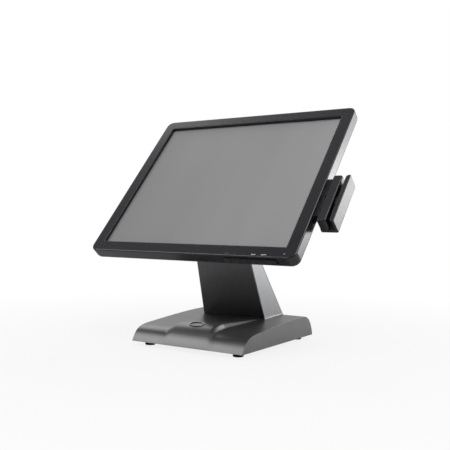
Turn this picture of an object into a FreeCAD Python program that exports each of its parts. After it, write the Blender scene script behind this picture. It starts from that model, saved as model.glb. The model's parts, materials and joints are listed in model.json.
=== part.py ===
import FreeCAD, Part
import math
import os
import Sketcher
from FreeCAD import Placement, Rotation, Vector

# A counter terminal: a tilting touch display on a leaning neck and a low weighted base,
# with a card reader on the display's right edge.
# Stand pieces are drawn with the stand's plane of symmetry at X = 0 and Z up.
# Display pieces are drawn flat: X to the right, Y up the screen, Z out of the screen,
# with Z = 0 on the face of the bezel, and are then tilted into place.

doc = FreeCAD.newDocument("terminal")
sheet = doc.addObject("Spreadsheet::Sheet", "dims")

SIZES = {
    # display head, as placed on the stand
    "head_tilt": 41.83, "face_y": -28.0, "face_z": 267.8,
    "head_w": 378.0, "head_high": 316.0, "bezel_depth": 16.0, "bezel_wall": 2.5,
    "bezel_face": 2.8, "bezel_corner": 12.0, "bezel_edge": 1.5,
    "window_w": 338.6, "window_high": 276.6, "lip_depth": 5.0, "lip_wide": 4.0,
    "post_x": 183.2, "post_y": 100.0, "post_r": 3.6,
    # layers behind the window
    "gasket_w": 352.0, "gasket_high": 288.0, "gasket_thick": 0.8,
    "glass_w": 360.0, "glass_high": 292.0, "glass_thick": 3.0,
    "panel_w": 356.0, "panel_high": 289.0, "panel_back": 21.4, "panel_front": 9.2,
    "chassis_w": 346.0, "chassis_high": 280.0, "chassis_front": 21.8, "chassis_thick": 1.5,
    "panel_screw_x": 162.0, "panel_screw_y": 130.0,
    # rear cover
    "rim_inset": 1.0, "rim_back": 20.0, "hump_w": 236.0, "hump_high": 190.0,
    "hump_back": 49.0, "rear_wall": 2.5, "rear_corner": 11.0, "hump_corner": 14.0,
    "bay_left": -112.0, "bay_right": -56.0, "bay_low": -138.0, "bay_top": -55.0,
    "bay_floor": 30.0, "vent_long": 26.0, "vent_wide": 2.5, "vent_pitch": 7.0,
    "vent_high": 62.0, "vent_count": 12, "port_behind": 9.0,
    # boards
    "board_front": 28.5, "board_thick": 1.6, "standoff_r": 2.8,
    # tilt hinge, in the display's own axes
    "hinge_v": -67.5, "hinge_w": -60.5, "hinge_round": 9.0, "shaft_r": 3.0,
    "shaft_half": 45.0, "bore_gap": 0.05, "knuckle_r": 7.5, "knuckle_half": 29.0,
    "vesa_pitch": 100.0, "vesa_plate": 118.0, "vesa_thick": 2.5, "vesa_screw_r": 2.0,
    # neck
    "neck_front_y": 12.7, "neck_back_y": 79.6, "neck_foot_z": 40.0, "neck_foot_half": 60.4,
    "neck_taper": 0.073, "neck_wall": 2.2, "rear_panel": 2.5, "seam": 0.4,
    "notch_half": 31.0, "notch_drop": 11.0, "frame_out": 39.0, "frame_sheet": 3.0,
    "ear_r": 6.2, "panel_top_drop": 24.0, "ear_bore_r": 5.2, "ear_bore_half": 41.0,
    "rear_screw_low": 62.0, "rear_screw_high": 140.0, "rear_screw_in": 9.0,
    "frame_front": 33.0, "frame_back": 66.0, "web_long": 112.0, "flange_half": 56.0,
    "flange_front": 20.0, "frame_bolt_x": 46.0, "frame_bolt_front": 28.0,
    "frame_bolt_back": 64.0, "frame_bolt_gap": 2.6,
    # base
    "base_half": 103.2, "base_front": -125.4, "base_back": 103.6, "base_low": 7.05,
    "base_wall": 2.8, "shoulder_front_y": -76.0, "shoulder_front_z": 32.8,
    "shoulder_back_y": 70.0, "shoulder_back_z": 40.9, "ridge_front_y": -72.0,
    "ridge_z": 41.0, "ridge_half": 34.0, "ridge_foot_half": 50.0, "ridge_half_y": -75.4,
    "ridge_spread": 0.18, "ridge_foot_spread": 0.1136,
    "well_half": 47.0, "well_front": 17.0, "well_back": 72.0,
    "cover_screw_x": 88.0, "cover_screw_front": -80.0, "cover_screw_back": 62.0,
    "cover_post_r": 4.5, "cover_post_bore": 1.8,
    "plate_half": 99.0, "plate_front": -115.0, "plate_back": 97.0, "plate_low": 7.5,
    "plate_thick": 3.0, "plate_corner": 10.0, "foot_sunk_r": 4.2, "foot_sunk_deep": 3.5,
    "foot_bore_r": 2.1, "foot_round": 1.2, "foot_r": 9.0, "foot_x": 83.0, "foot_front_y": -104.0,
    "foot_back_y": 84.0, "outlet_half": 20.0, "outlet_high": 12.0, "grommet_wall": 2.0,
    "badge_y": -92.0, "badge_z": 38.7, "badge_tilt": 17.0, "badge_long": 28.0,
    "badge_wide": 16.5, "badge_thick": 1.4,
    "light_u": 170.6, "light_v": -151.0, "light_r": 1.2,
    # card reader, in the display's own axes
    "reader_in": 195.0, "slot_in": 209.8, "slot_out": 214.8, "reader_out": 222.0,
    "reader_low": -85.0, "reader_top": 6.5, "reader_front": -4.0, "slot_floor": -24.0,
    "reader_back": -30.0, "rail_round": 3.0, "mount_low_in": 12.0,
    "mount_top_in": 3.0, "mount_back_in": 4.0, "mount_front_in": 5.0,
    "read_head_half": 6.0, "read_head_front": -10.0, "read_head_back": -20.0,
    # keys under the bezel
    "key_first": 78.0, "key_pitch": 14.2, "key_w": 9.0, "key_deep": 5.0, "key_mid": -10.5,
    "key_proud": 2.8, "key_gap": 0.35, "strip_left": 72.0, "strip_right": 158.0,
    "strip_front": -5.5, "strip_back": -15.0, "strip_thick": 2.2,
}

for row, (alias, value) in enumerate(SIZES.items(), start=1):
    sheet.set("A%d" % row, alias)
    sheet.set("B%d" % row, str(value))
    sheet.setAlias("B%d" % row, alias)
doc.recompute()


def size(alias):
    """A driving dimension, read back from the sheet."""
    return float(sheet.get(alias))


# The origin stands under the middle of the whole object's box.
half_high = size("head_high") / 2
tilt = math.radians(size("head_tilt"))
lean = Vector(0, math.sin(tilt), math.cos(tilt))
outward = Vector(0, -math.cos(tilt), math.sin(tilt))
face_centre = Vector(0, size("face_y"), size("face_z"))
front_y = size("face_y") - half_high * math.sin(tilt)
shift = Vector((size("head_w") / 2 - size("reader_out")) / 2,
               -(front_y + size("base_back")) / 2, 0)
STAND = Placement(shift, Rotation())
HEAD = Placement(shift + face_centre, Rotation(Vector(1, 0, 0), 90 - size("head_tilt")))
hinge = face_centre + lean * size("hinge_v") + outward * size("hinge_w")

nodes = []


# ---- helpers for parametric bodies ------------------------------------------------------

def keep(item, label, placement):
    """Name a finished sub-part and put it where it belongs."""
    item.Label = label
    item.Placement = placement
    nodes.append(item)
    return item


def new_body(name):
    return doc.addObject("PartDesign::Body", name)


def new_sketch(body, name, role="XY_Plane", offset="0"):
    sketch = body.newObject("Sketcher::SketchObject", name)
    face = next(f for f in body.Origin.OriginFeatures if f.Role == role)
    sketch.AttachmentSupport = [(face, "")]
    sketch.MapMode = "FlatFace"
    sketch.setExpression("AttachmentOffset.Base.z", offset)
    return sketch


def add_polygon(sketch, corners):
    """Closed outline through corners, each a pair of expressions."""
    first = sketch.GeometryCount
    count = len(corners)
    turn = 2 * math.pi / count
    ring = [Vector(math.cos(turn * i), math.sin(turn * i), 0) for i in range(count)]
    for i in range(count):
        sketch.addGeometry(Part.LineSegment(ring[i], ring[(i + 1) % count]))
    for i in range(count):
        follow = first + (i + 1) % count
        sketch.addConstraint(Sketcher.Constraint("Coincident", first + i, 2, follow, 1))
    for i, pair in enumerate(corners):
        for kind, rule in zip(("DistanceX", "DistanceY"), pair):
            index = sketch.addConstraint(Sketcher.Constraint(kind, -1, 1, first + i, 1, 1.0))
            sketch.setExpression("Constraints[%d]" % index, rule)


def add_rectangle(sketch, left, right, low, high):
    add_polygon(sketch, [(left, low), (right, low), (right, high), (left, high)])


def add_centred(sketch, wide, high):
    """Rectangle centred on the sketch's origin."""
    add_rectangle(sketch, "-(%s)/2" % wide, "(%s)/2" % wide, "-(%s)/2" % high, "(%s)/2" % high)


def add_circle(sketch, across, up, radius):
    index = sketch.addGeometry(Part.Circle(Vector(1, 1, 0), Vector(0, 0, 1), 1.0))
    for kind, rule in (("DistanceX", across), ("DistanceY", up)):
        place = sketch.addConstraint(Sketcher.Constraint(kind, -1, 1, index, 3, 1.0))
        sketch.setExpression("Constraints[%d]" % place, rule)
    round_ = sketch.addConstraint(Sketcher.Constraint("Radius", index, 1.0))
    sketch.setExpression("Constraints[%d]" % round_, radius)


def pad(body, sketch, length, midplane=False):
    feature = body.newObject("PartDesign::Pad", sketch.Name + "_pad")
    feature.Profile = sketch
    feature.Midplane = midplane
    feature.setExpression("Length", length)
    doc.recompute()
    return feature


def pocket(body, sketch, length, towards_plus=False, midplane=False):
    before = body.Shape.Volume
    feature = body.newObject("PartDesign::Pocket", sketch.Name + "_pocket")
    feature.Profile = sketch
    feature.Midplane = midplane
    feature.Reversed = towards_plus
    feature.setExpression("Length", length)
    doc.recompute()
    if body.Shape.Volume > before - 0.01:
        raise ValueError(sketch.Name + " cuts nothing")
    return feature


def round_edges(body, feature, radius, wanted):
    """Fillet the edges of the feature for which wanted(edge) is true."""
    names = ["Edge%d" % i for i, edge in enumerate(feature.Shape.Edges, 1) if wanted(edge)]
    fillet = body.newObject("PartDesign::Fillet", feature.Name + "_round")
    fillet.Base = (feature, names)
    fillet.setExpression("Radius", radius)
    doc.recompute()
    return fillet


def along(axis):
    """A test for straight edges that run along X (0), Y (1) or Z (2)."""
    def test(edge):
        if edge.Curve.TypeId != "Part::GeomLine":
            return False
        step = edge.lastVertex().Point - edge.firstVertex().Point
        return abs(step[axis]) > 0.999 * step.Length
    return test


def at_level(axis, value):
    """A test for edges that lie whole in one level plane."""
    def test(edge):
        box = edge.BoundBox
        low = (box.XMin, box.YMin, box.ZMin)[axis]
        high = (box.XMax, box.YMax, box.ZMax)[axis]
        return abs(low - value) < 0.01 and abs(high - value) < 0.01
    return test


def feature_shape(label, shape, placement):
    """A sub-part whose shape is made with Part's own functions."""
    item = doc.addObject("Part::Feature", label)
    item.Shape = shape
    return keep(item, label, placement)


def drum(start, axis, radius, length):
    return Part.makeCylinder(radius, length, start, axis)


def slab(low, high):
    """Box between two corners."""
    span = Vector(*high) - Vector(*low)
    return Part.makeBox(span.x, span.y, span.z, Vector(*low))


def screw(head_top, axis, shank_r, length, head_r, head_thick):
    """Pan head screw: head_top is the outer end of the head, axis points down the shank."""
    head = drum(head_top, axis, head_r, head_thick)
    head = head.makeFillet(head_thick * 0.35, [e for e in head.Edges
                                               if e.CenterOfMass.distanceToPoint(head_top) < 0.01])
    shank = drum(head_top + axis * head_thick, axis, shank_r, length)
    socket = head_r * 0.45
    recess = drum(head_top - axis * 0.1, axis, socket, head_thick * 0.55 + 0.1)
    return head.fuse(shank).cut(recess).removeSplitter()


def screw_group(label, tops, axis, shank_r, length, head_r, head_thick, placement):
    solids = [screw(top, axis, shank_r, length, head_r, head_thick) for top in tops]
    return feature_shape(label, Part.makeCompound(solids), placement)


def corners_of(half_x, half_y, level, middle_x=0.0, middle_y=0.0):
    return [Vector(middle_x + sx * half_x, middle_y + sy * half_y, level)
            for sx in (-1, 1) for sy in (-1, 1)]


UP = Vector(0, 0, 1)
DOWN = Vector(0, 0, -1)
RIGHT = Vector(1, 0, 0)

# ---- base --------------------------------------------------------------------------------


def side_profile(ridge, inset, across=0.0, spread=0.0):
    """Side view of the base as a wire. ridge is True along the raised middle, and inset draws
    the line of the inner wall. The wire's plane is at X = across, and with a spread it turns
    outwards towards the back."""
    def place(y, z):
        return Vector(across + spread * (y - size("ridge_half_y")), y, z)

    def curve(points):
        bezier = Part.BezierCurve()
        bezier.setPoles([place(y, z) for y, z in points])
        return bezier.toShape()

    front = size("base_front") + inset
    back = size("base_back") - inset
    low = size("base_low") if inset == 0 else 0.0
    if ridge:
        crest = (size("ridge_front_y") + inset, size("ridge_z") - inset)
        rise = [(front, low), (front + 10.9, crest[1] - 8.0), (crest[0] - 25.0, crest[1]), crest]
    else:
        crest = (size("shoulder_front_y") + inset, size("shoulder_front_z") - inset)
        rise = [(front, low), (front + 10.5, crest[1] - 4.2), (crest[0] - 29.9, crest[1] - 2.1),
                crest]
    tail = (size("shoulder_back_y") - inset, size("shoulder_back_z") - inset)
    third = (tail[0] - crest[0]) / 3
    lift = tail[1] - crest[1]
    top = [crest, (crest[0] + third, crest[1] + lift * 0.47),
           (tail[0] - third, tail[1] - lift * 0.07), tail]
    fall = [tail, (tail[0] + 19.0, tail[1] + 0.3), (back - 4.1, 27.0 - inset), (back, low)]
    close = Part.makeLine(place(back, low), place(front, low))
    return Part.Wire([curve(rise), curve(top), curve(fall), close])


def base_solid(inset):
    """The base's outer body, or with an inset the hollow inside it."""
    half = size("base_half") - inset
    plain = side_profile(False, inset)
    block = Part.Face(plain).extrude(Vector(2 * half, 0, 0))
    block.translate(Vector(-half, 0, 0))
    foot = (size("ridge_foot_half"), size("ridge_foot_spread"), False)
    crown = (size("ridge_half"), size("ridge_spread"), True)
    wires = []
    for sign, (across, spread, ridge) in ((-1, foot), (-1, crown), (1, crown), (1, foot)):
        wires.append(side_profile(ridge, inset, sign * across, sign * spread))
    return block.fuse(Part.makeLoft(wires, True, True))


def oval(long, wide, thick):
    """Upright oval disc, centred on the origin's XY."""
    ellipse = Part.Ellipse(Vector(0, 0, 0), long / 2, wide / 2)
    return Part.Face(Part.Wire(ellipse.toShape())).extrude(Vector(0, 0, thick))


BADGE = Placement(Vector(0, size("badge_y"), size("badge_z")),
                  Rotation(RIGHT, size("badge_tilt")))


def base_cover():
    shell = base_solid(0.0).cut(base_solid(size("base_wall")))
    # window under the neck, for the frame and the cables
    well = size("well_half")
    window = slab((-well, size("well_front"), 30), (well, size("well_back"), 45))
    # outlet for cables in the back wall
    half = size("outlet_half")
    outlet = slab((-half, 85, 0), (half, 110, size("plate_low") + size("outlet_high")))
    # seat of the badge
    seat = oval(size("badge_long") + 0.4, size("badge_wide") + 0.4, 20)
    seat.translate(Vector(0, 0, -size("badge_thick")))
    seat.Placement = BADGE.multiply(seat.Placement)
    shell = shell.cut(Part.makeCompound([window, outlet, seat]))
    # screw posts down to the plate
    plate_top = size("plate_low") + size("plate_thick")
    posts = []
    for top in cover_screw_places(plate_top):
        post = drum(top, UP, size("cover_post_r"), 40)
        post = post.cut(drum(top, UP, size("cover_post_bore"), 12))
        posts.append(post.common(base_solid(size("base_wall") / 2)))
    shell = shell.fuse(posts).removeSplitter()
    return feature_shape("base_cover", shell, STAND)


def cover_screw_places(level):
    depths = (size("cover_screw_front"), size("cover_screw_back"))
    return [Vector(sx * size("cover_screw_x"), y, level) for sx in (-1, 1) for y in depths]


def base_plate():
    body = new_body("base_plate")
    outline = new_sketch(body, "plate_outline", offset="dims.plate_low")
    add_rectangle(outline, "-dims.plate_half", "dims.plate_half", "dims.plate_front",
                  "dims.plate_back")
    sheet_pad = pad(body, outline, "dims.plate_thick")
    round_edges(body, sheet_pad, "dims.plate_corner", along(2))
    holes = new_sketch(body, "plate_holes", offset="dims.plate_low")
    for sx in ("-", ""):
        for y in ("dims.foot_front_y", "dims.foot_back_y"):
            add_circle(holes, sx + "dims.foot_x", y, "dims.foot_bore_r")
        for y in ("dims.cover_screw_front", "dims.cover_screw_back"):
            add_circle(holes, sx + "dims.cover_screw_x", y, "dims.cover_post_bore+0.1")
        for y in ("dims.frame_bolt_front", "dims.frame_bolt_back"):
            add_circle(holes, sx + "dims.frame_bolt_x", y, "dims.frame_bolt_gap")
    pocket(body, holes, "dims.plate_thick", towards_plus=True)
    return keep(body, "base_plate", STAND)


def feet():
    """Four moulded rubber feet with a sunk screw hole, and their screws."""
    places = {"front_left": (-1, "foot_front_y"), "front_right": (1, "foot_front_y"),
              "rear_left": (-1, "foot_back_y"), "rear_right": (1, "foot_back_y")}
    tops = []
    for name, (side, depth) in places.items():
        body = new_body("foot_" + name)
        ring = new_sketch(body, "ring_" + name)
        add_circle(ring, "0", "0", "dims.foot_r")
        puck = pad(body, ring, "dims.plate_low")
        round_edges(body, puck, "dims.foot_round", at_level(2, 0.0))
        sunk = new_sketch(body, "sunk_" + name)
        add_circle(sunk, "0", "0", "dims.foot_sunk_r")
        pocket(body, sunk, "dims.foot_sunk_deep", towards_plus=True)
        bore = new_sketch(body, "bore_" + name)
        add_circle(bore, "0", "0", "dims.foot_bore_r")
        pocket(body, bore, "dims.plate_low", towards_plus=True)
        place = Vector(side * size("foot_x"), size(depth), 0)
        keep(body, "foot_" + name, Placement(shift + place, Rotation()))
        tops.append(place + UP * 1.2)
    screw_group("foot_screws", tops, UP, 1.95, 8.5, 3.8, 2.2, STAND)


def badge():
    disc = oval(size("badge_long"), size("badge_wide"), size("badge_thick"))
    dish = oval(size("badge_long") - 5, size("badge_wide") - 4.5, 2)
    dish.translate(Vector(0, 0, size("badge_thick") - 0.5))
    disc = disc.cut(dish)
    sunk = Placement(Vector(0, 0, 0.1 - size("badge_thick")), Rotation())
    return feature_shape("badge", disc, STAND.multiply(BADGE).multiply(sunk))


def cable_grommet():
    """Rubber frame that lines the outlet."""
    half = size("outlet_half") - 0.2
    low = size("plate_low") + 0.2
    high = size("plate_low") + size("outlet_high") - 0.2
    wall = size("grommet_wall")
    ring = slab((-half, 98.6, low), (half, 103.2, high))
    ring = ring.cut(slab((-half + wall, 90, low + wall), (half - wall, 110, high - wall)))
    upright = [e for e in ring.Edges if along(1)(e)]
    return feature_shape("cable_grommet", ring.makeFillet(0.8, upright), STAND)


# ---- neck --------------------------------------------------------------------------------


def tangent(foot, radius, side):
    """Where a line from foot touches the hinge's round from the front (-1) or back (1)."""
    away = Vector(0, hinge.y - foot.y, hinge.z - foot.z)
    angle = math.atan2(away.z, away.y) - side * math.asin(radius / away.Length)
    reach = math.sqrt(away.Length ** 2 - radius ** 2)
    return foot + Vector(0, math.cos(angle), math.sin(angle)) * reach


FRONT_FOOT = Vector(0, size("neck_front_y"), size("neck_foot_z"))
BACK_FOOT = Vector(0, size("neck_back_y"), size("neck_foot_z"))
FRONT_TOUCH = tangent(FRONT_FOOT, size("hinge_round"), -1)
BACK_TOUCH = tangent(BACK_FOOT, size("hinge_round"), 1)


def run_down(touch, foot, level):
    """Carry the line from touch to foot on to a level."""
    step = foot - touch
    return touch + step * ((level - touch.z) / step.z)


def neck_block(inset, low):
    """Neck as a solid: leaning front and back, rounded over the hinge, sides drawn in."""
    front_side = (FRONT_TOUCH - hinge).normalize()
    back_side = (BACK_TOUCH - hinge).normalize()
    front_top = FRONT_TOUCH - front_side * inset
    back_top = BACK_TOUCH - back_side * inset
    front_low = run_down(FRONT_TOUCH, FRONT_FOOT, low) - Vector(0, inset / front_side.y, 0)
    back_low = run_down(BACK_TOUCH, BACK_FOOT, low) - Vector(0, inset / back_side.y, 0)
    crown = hinge + UP * (size("hinge_round") - inset)
    crown.x = 0
    over = Part.Arc(Vector(0, front_top.y, front_top.z), crown,
                    Vector(0, back_top.y, back_top.z)).toShape()
    ends = over.Vertexes
    outline = Part.Wire([over, Part.makeLine(ends[1].Point, back_low),
                         Part.makeLine(back_low, front_low),
                         Part.makeLine(front_low, ends[0].Point)])
    wide = Part.Face(outline).extrude(Vector(160, 0, 0))
    wide.translate(Vector(-80, 0, 0))
    top = hinge.z + 20
    half_low = neck_half(low) - inset
    half_top = neck_half(top) - inset
    gable = Part.makePolygon([Vector(-half_low, -150, low), Vector(half_low, -150, low),
                              Vector(half_top, -150, top), Vector(-half_top, -150, top),
                              Vector(-half_low, -150, low)])
    return wide.common(Part.Face(gable).extrude(Vector(0, 300, 0)))


def neck_half(level):
    return size("neck_foot_half") - size("neck_taper") * (level - size("neck_foot_z"))


def behind(depth, high):
    """Everything more than depth inside the neck's back face is left; this block is the
    rest: a slab along the back face, from under the foot up to the level high."""
    back_side = (BACK_TOUCH - hinge).normalize()
    start = run_down(BACK_TOUCH, BACK_FOOT, 20.0) - back_side * depth
    end = run_down(BACK_TOUCH, BACK_FOOT, high) - back_side * depth
    out = back_side * 20
    face = Part.makePolygon([start, end, end + out, start + out, start])
    block = Part.Face(face).extrude(Vector(160, 0, 0))
    block.translate(Vector(-80, 0, 0))
    return block


REAR_PANEL_TOP = hinge.z - size("panel_top_drop")


def neck_cover():
    wall = size("neck_wall")
    notch = size("notch_half")
    floor = hinge.z - size("notch_drop")
    hollow = neck_block(wall, 20.0)
    middle = slab((-notch - wall, -150, floor - wall), (notch + wall, 150, hinge.z + 30))
    cover = neck_block(0.0, 30.0).cut(hollow.cut(middle))
    cover = cover.cut(slab((-notch, -150, floor), (notch, 150, hinge.z + 30)))
    reach = size("ear_bore_half")
    ear_start = Vector(-reach, hinge.y, hinge.z)
    cover = cover.cut(drum(ear_start, RIGHT, size("ear_bore_r"), 2 * reach))
    cover = cover.cut(behind(size("rear_panel") + size("seam"), REAR_PANEL_TOP))
    cover = cover.cut(base_solid(0.0))
    return feature_shape("neck_cover", cover.removeSplitter(), STAND)


def neck_rear_cover():
    panel = neck_block(0.0, 30.0).common(behind(size("rear_panel"), REAR_PANEL_TOP - size("seam")))
    panel = panel.cut(base_solid(0.0))
    holes = [drum(top + BACK_OUT * 3, BACK_OUT * -1, 1.7, 12) for top in rear_screw_places()]
    return feature_shape("neck_rear_cover", panel.cut(holes), STAND)


BACK_OUT = (BACK_TOUCH - hinge).normalize()


def rear_screw_places():
    """On the back face of the neck, one high and one low on each side."""
    places = []
    for level in (size("rear_screw_low"), size("rear_screw_high")):
        for sx in (-1, 1):
            place = run_down(BACK_TOUCH, BACK_FOOT, level)
            places.append(place + Vector(sx * (neck_half(level) - size("rear_screw_in")), 0, 0))
    return places


def neck_rear_screws():
    tops = [place + BACK_OUT * 1.2 for place in rear_screw_places()]
    screw_group("neck_rear_screws", tops, BACK_OUT * -1, 1.5, 5.5, 2.8, 1.2, STAND)


def neck_frame():
    """Folded steel channel: foot flange, front web and two side plates with hinge ears."""
    plate_top = size("plate_low") + size("plate_thick")
    sheet_thick = size("frame_sheet")
    out = size("frame_out")
    front = Vector(0, size("frame_front"), plate_top + sheet_thick)
    back = Vector(0, size("frame_back"), plate_top + sheet_thick)
    ear = size("ear_r")
    front_touch = tangent(front, ear, -1)
    back_touch = tangent(back, ear, 1)
    outline = Part.makePolygon([front, back, back_touch,
                                Vector(0, hinge.y, hinge.z), front_touch, front])
    side = Part.Face(outline).extrude(Vector(sheet_thick, 0, 0))
    centre = Vector(0, hinge.y, hinge.z)
    side = side.fuse(drum(centre, RIGHT, ear, sheet_thick))
    bore = size("shaft_r") + size("bore_gap")
    side = side.cut(drum(centre - RIGHT, RIGHT, bore, sheet_thick + 2))
    left = side.copy()
    left.translate(Vector(-out, 0, 0))
    right = side.copy()
    right.translate(Vector(out - sheet_thick, 0, 0))
    lean_in = (front_touch - front).normalize()
    web_top = front + lean_in * size("web_long")
    normal = Vector(0, lean_in.z, -lean_in.y)
    strip = Part.makePolygon([front, web_top, web_top + normal * sheet_thick,
                              front + normal * sheet_thick, front])
    web = Part.Face(strip).extrude(Vector(2 * out, 0, 0))
    web.translate(Vector(-out, 0, 0))
    wing = size("flange_half")
    flange = slab((-wing, size("flange_front"), plate_top),
                  (wing, size("well_back"), plate_top + sheet_thick))
    flange = flange.cut(slab((-30, 36, 0), (30, 60, 40)))
    for bolt in frame_bolt_places(plate_top - 1):
        flange = flange.cut(drum(bolt, UP, size("frame_bolt_gap"), 10))
    frame = flange.fuse([left, right, web]).removeSplitter()
    return feature_shape("neck_frame", frame, STAND)


def frame_bolt_places(level):
    depths = (size("frame_bolt_front"), size("frame_bolt_back"))
    return [Vector(sx * size("frame_bolt_x"), y, level) for sx in (-1, 1) for y in depths]


# ---- tilt hinge --------------------------------------------------------------------------


def tilt_bracket():
    """Steel plate on the display's back with a knuckle that the shaft runs through."""
    body = new_body("tilt_bracket")
    plate = new_sketch(body, "bracket_plate", offset="-dims.hump_back-dims.vesa_thick")
    add_centred(plate, "dims.vesa_plate", "dims.vesa_plate")
    flat = pad(body, plate, "dims.vesa_thick")
    round_edges(body, flat, "8", along(2))
    arm = new_sketch(body, "bracket_arm", "YZ_Plane")
    plate_back = "-dims.hump_back-dims.vesa_thick"
    add_polygon(arm, [("-56", plate_back), ("-40", plate_back),
                      ("dims.hinge_v", "dims.hinge_w-dims.knuckle_r+2"),
                      ("dims.hinge_v-4", "dims.hinge_w"),
                      ("dims.hinge_v", "dims.hinge_w+dims.knuckle_r")])
    pad(body, arm, "2*dims.knuckle_half", midplane=True)
    barrel = new_sketch(body, "bracket_barrel", "YZ_Plane")
    add_circle(barrel, "dims.hinge_v", "dims.hinge_w", "dims.knuckle_r")
    pad(body, barrel, "2*dims.knuckle_half", midplane=True)
    bore = new_sketch(body, "bracket_bore", "YZ_Plane")
    add_circle(bore, "dims.hinge_v", "dims.hinge_w", "dims.shaft_r+0.02")
    pocket(body, bore, "4*dims.knuckle_half", midplane=True)
    holes = new_sketch(body, "bracket_holes", offset=plate_back)
    for sx in ("-", ""):
        for sy in ("-", ""):
            add_circle(holes, sx + "dims.vesa_pitch/2", sy + "dims.vesa_pitch/2",
                       "dims.vesa_screw_r+0.25")
    pocket(body, holes, "dims.vesa_thick", towards_plus=True)
    return keep(body, "tilt_bracket", HEAD)


def hinge_parts():
    centre = Vector(0, size("hinge_v"), size("hinge_w"))
    half = size("shaft_half")
    shaft = drum(centre - RIGHT * half, RIGHT, size("shaft_r"), 2 * half)
    shaft = shaft.makeChamfer(0.5, [e for e in shaft.Edges if e.Curve.TypeId == "Part::GeomCircle"])
    feature_shape("hinge_shaft", shaft, HEAD)
    for side, sign in (("left", -1), ("right", 1)):
        out = size("frame_out")
        inner = out + 0.1 if sign > 0 else -out - 1.1
        start = Vector(inner, centre.y, centre.z)
        washer = drum(start, RIGHT, 5.9, 1.0).cut(drum(start, RIGHT, 3.05, 1.0))
        feature_shape("friction_washer_" + side, washer, HEAD)
        nut_start = start + RIGHT * (1.0 if sign > 0 else -4.0)
        corners = [nut_start + Vector(0, math.cos(a), math.sin(a)) * 5.6
                   for a in (math.radians(60 * i) for i in range(7))]
        nut = Part.Face(Part.makePolygon(corners)).extrude(Vector(4.0, 0, 0))
        nut = nut.cut(drum(nut_start, RIGHT, 3.02, 4.0))
        feature_shape("hinge_nut_" + side, nut, HEAD)


# ---- display head ------------------------------------------------------------------------


def head_corner(inset):
    """A test for the upright edges at the corners of the head's outline, moved in by inset."""
    def test(edge):
        across = size("head_w") / 2 - inset - abs(edge.BoundBox.XMin)
        up = size("head_high") / 2 - inset - abs(edge.BoundBox.YMin)
        return along(2)(edge) and abs(across) < 0.01 and abs(up) < 0.01
    return test


def front_bezel():
    body = new_body("front_bezel")
    outline = new_sketch(body, "bezel_outline", offset="-dims.bezel_depth")
    add_centred(outline, "dims.head_w", "dims.head_high")
    pad(body, outline, "dims.bezel_depth")
    inner_w = "dims.head_w-2*dims.bezel_wall"
    inner_high = "dims.head_high-2*dims.bezel_wall"
    hollow = new_sketch(body, "bezel_hollow", offset="-dims.bezel_depth")
    add_centred(hollow, inner_w, inner_high)
    pocket(body, hollow, "dims.bezel_depth-dims.lip_depth", towards_plus=True)
    groove = new_sketch(body, "bezel_groove", offset="-dims.lip_depth")
    add_centred(groove, inner_w, inner_high)
    add_centred(groove, "dims.window_w+2*dims.lip_wide", "dims.window_high+2*dims.lip_wide")
    room = pocket(body, groove, "dims.lip_depth-dims.bezel_face", towards_plus=True)
    inside = round_edges(body, room, "dims.bezel_corner-dims.bezel_wall",
                         head_corner(size("bezel_wall")))
    corners = round_edges(body, inside, "dims.bezel_corner", head_corner(0.0))
    round_edges(body, corners, "dims.bezel_edge", at_level(2, 0.0))
    posts = new_sketch(body, "bezel_posts", offset="-dims.bezel_depth")
    bores = new_sketch(body, "bezel_post_bores", offset="-dims.bezel_depth")
    for sx in ("-", ""):
        for sy in ("-", ""):
            add_circle(posts, sx + "dims.post_x", sy + "dims.post_y", "dims.post_r")
            add_circle(bores, sx + "dims.post_x", sy + "dims.post_y", "1.6")
    pad(body, posts, "dims.bezel_depth-dims.lip_depth-4")
    pocket(body, bores, "dims.bezel_depth-dims.lip_depth-4.5", towards_plus=True)
    window = new_sketch(body, "bezel_window", offset="-dims.bezel_depth")
    add_centred(window, "dims.window_w", "dims.window_high")
    pocket(body, window, "dims.bezel_depth", towards_plus=True)
    slot = new_sketch(body, "bezel_key_slot", "XZ_Plane", offset="dims.head_high/2")
    add_rectangle(slot, "dims.key_first-dims.key_w/2-1",
                  "dims.key_first+4*dims.key_pitch+dims.key_w/2+1",
                  "dims.key_mid-dims.key_deep/2-1", "dims.key_mid+dims.key_deep/2+1")
    pocket(body, slot, "dims.bezel_wall+0.5")
    light = new_sketch(body, "bezel_light_hole", offset="-dims.bezel_depth")
    add_circle(light, "dims.light_u", "dims.light_v", "dims.light_r+0.05")
    pocket(body, light, "dims.bezel_depth", towards_plus=True)
    return keep(body, "front_bezel", HEAD)


def flat_layer(name, wide, high, back, thick, corner, round_holes=()):
    """A rounded plate behind the window. back and thick are expressions."""
    body = new_body(name)
    outline = new_sketch(body, name + "_outline", offset=back)
    add_centred(outline, wide, high)
    plate = pad(body, outline, thick)
    round_edges(body, plate, corner, along(2))
    if round_holes:
        holes = new_sketch(body, name + "_holes", offset=back)
        for across, up, radius in round_holes:
            add_circle(holes, across, up, radius)
        pocket(body, holes, thick, towards_plus=True)
    return keep(body, name, HEAD)


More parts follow.
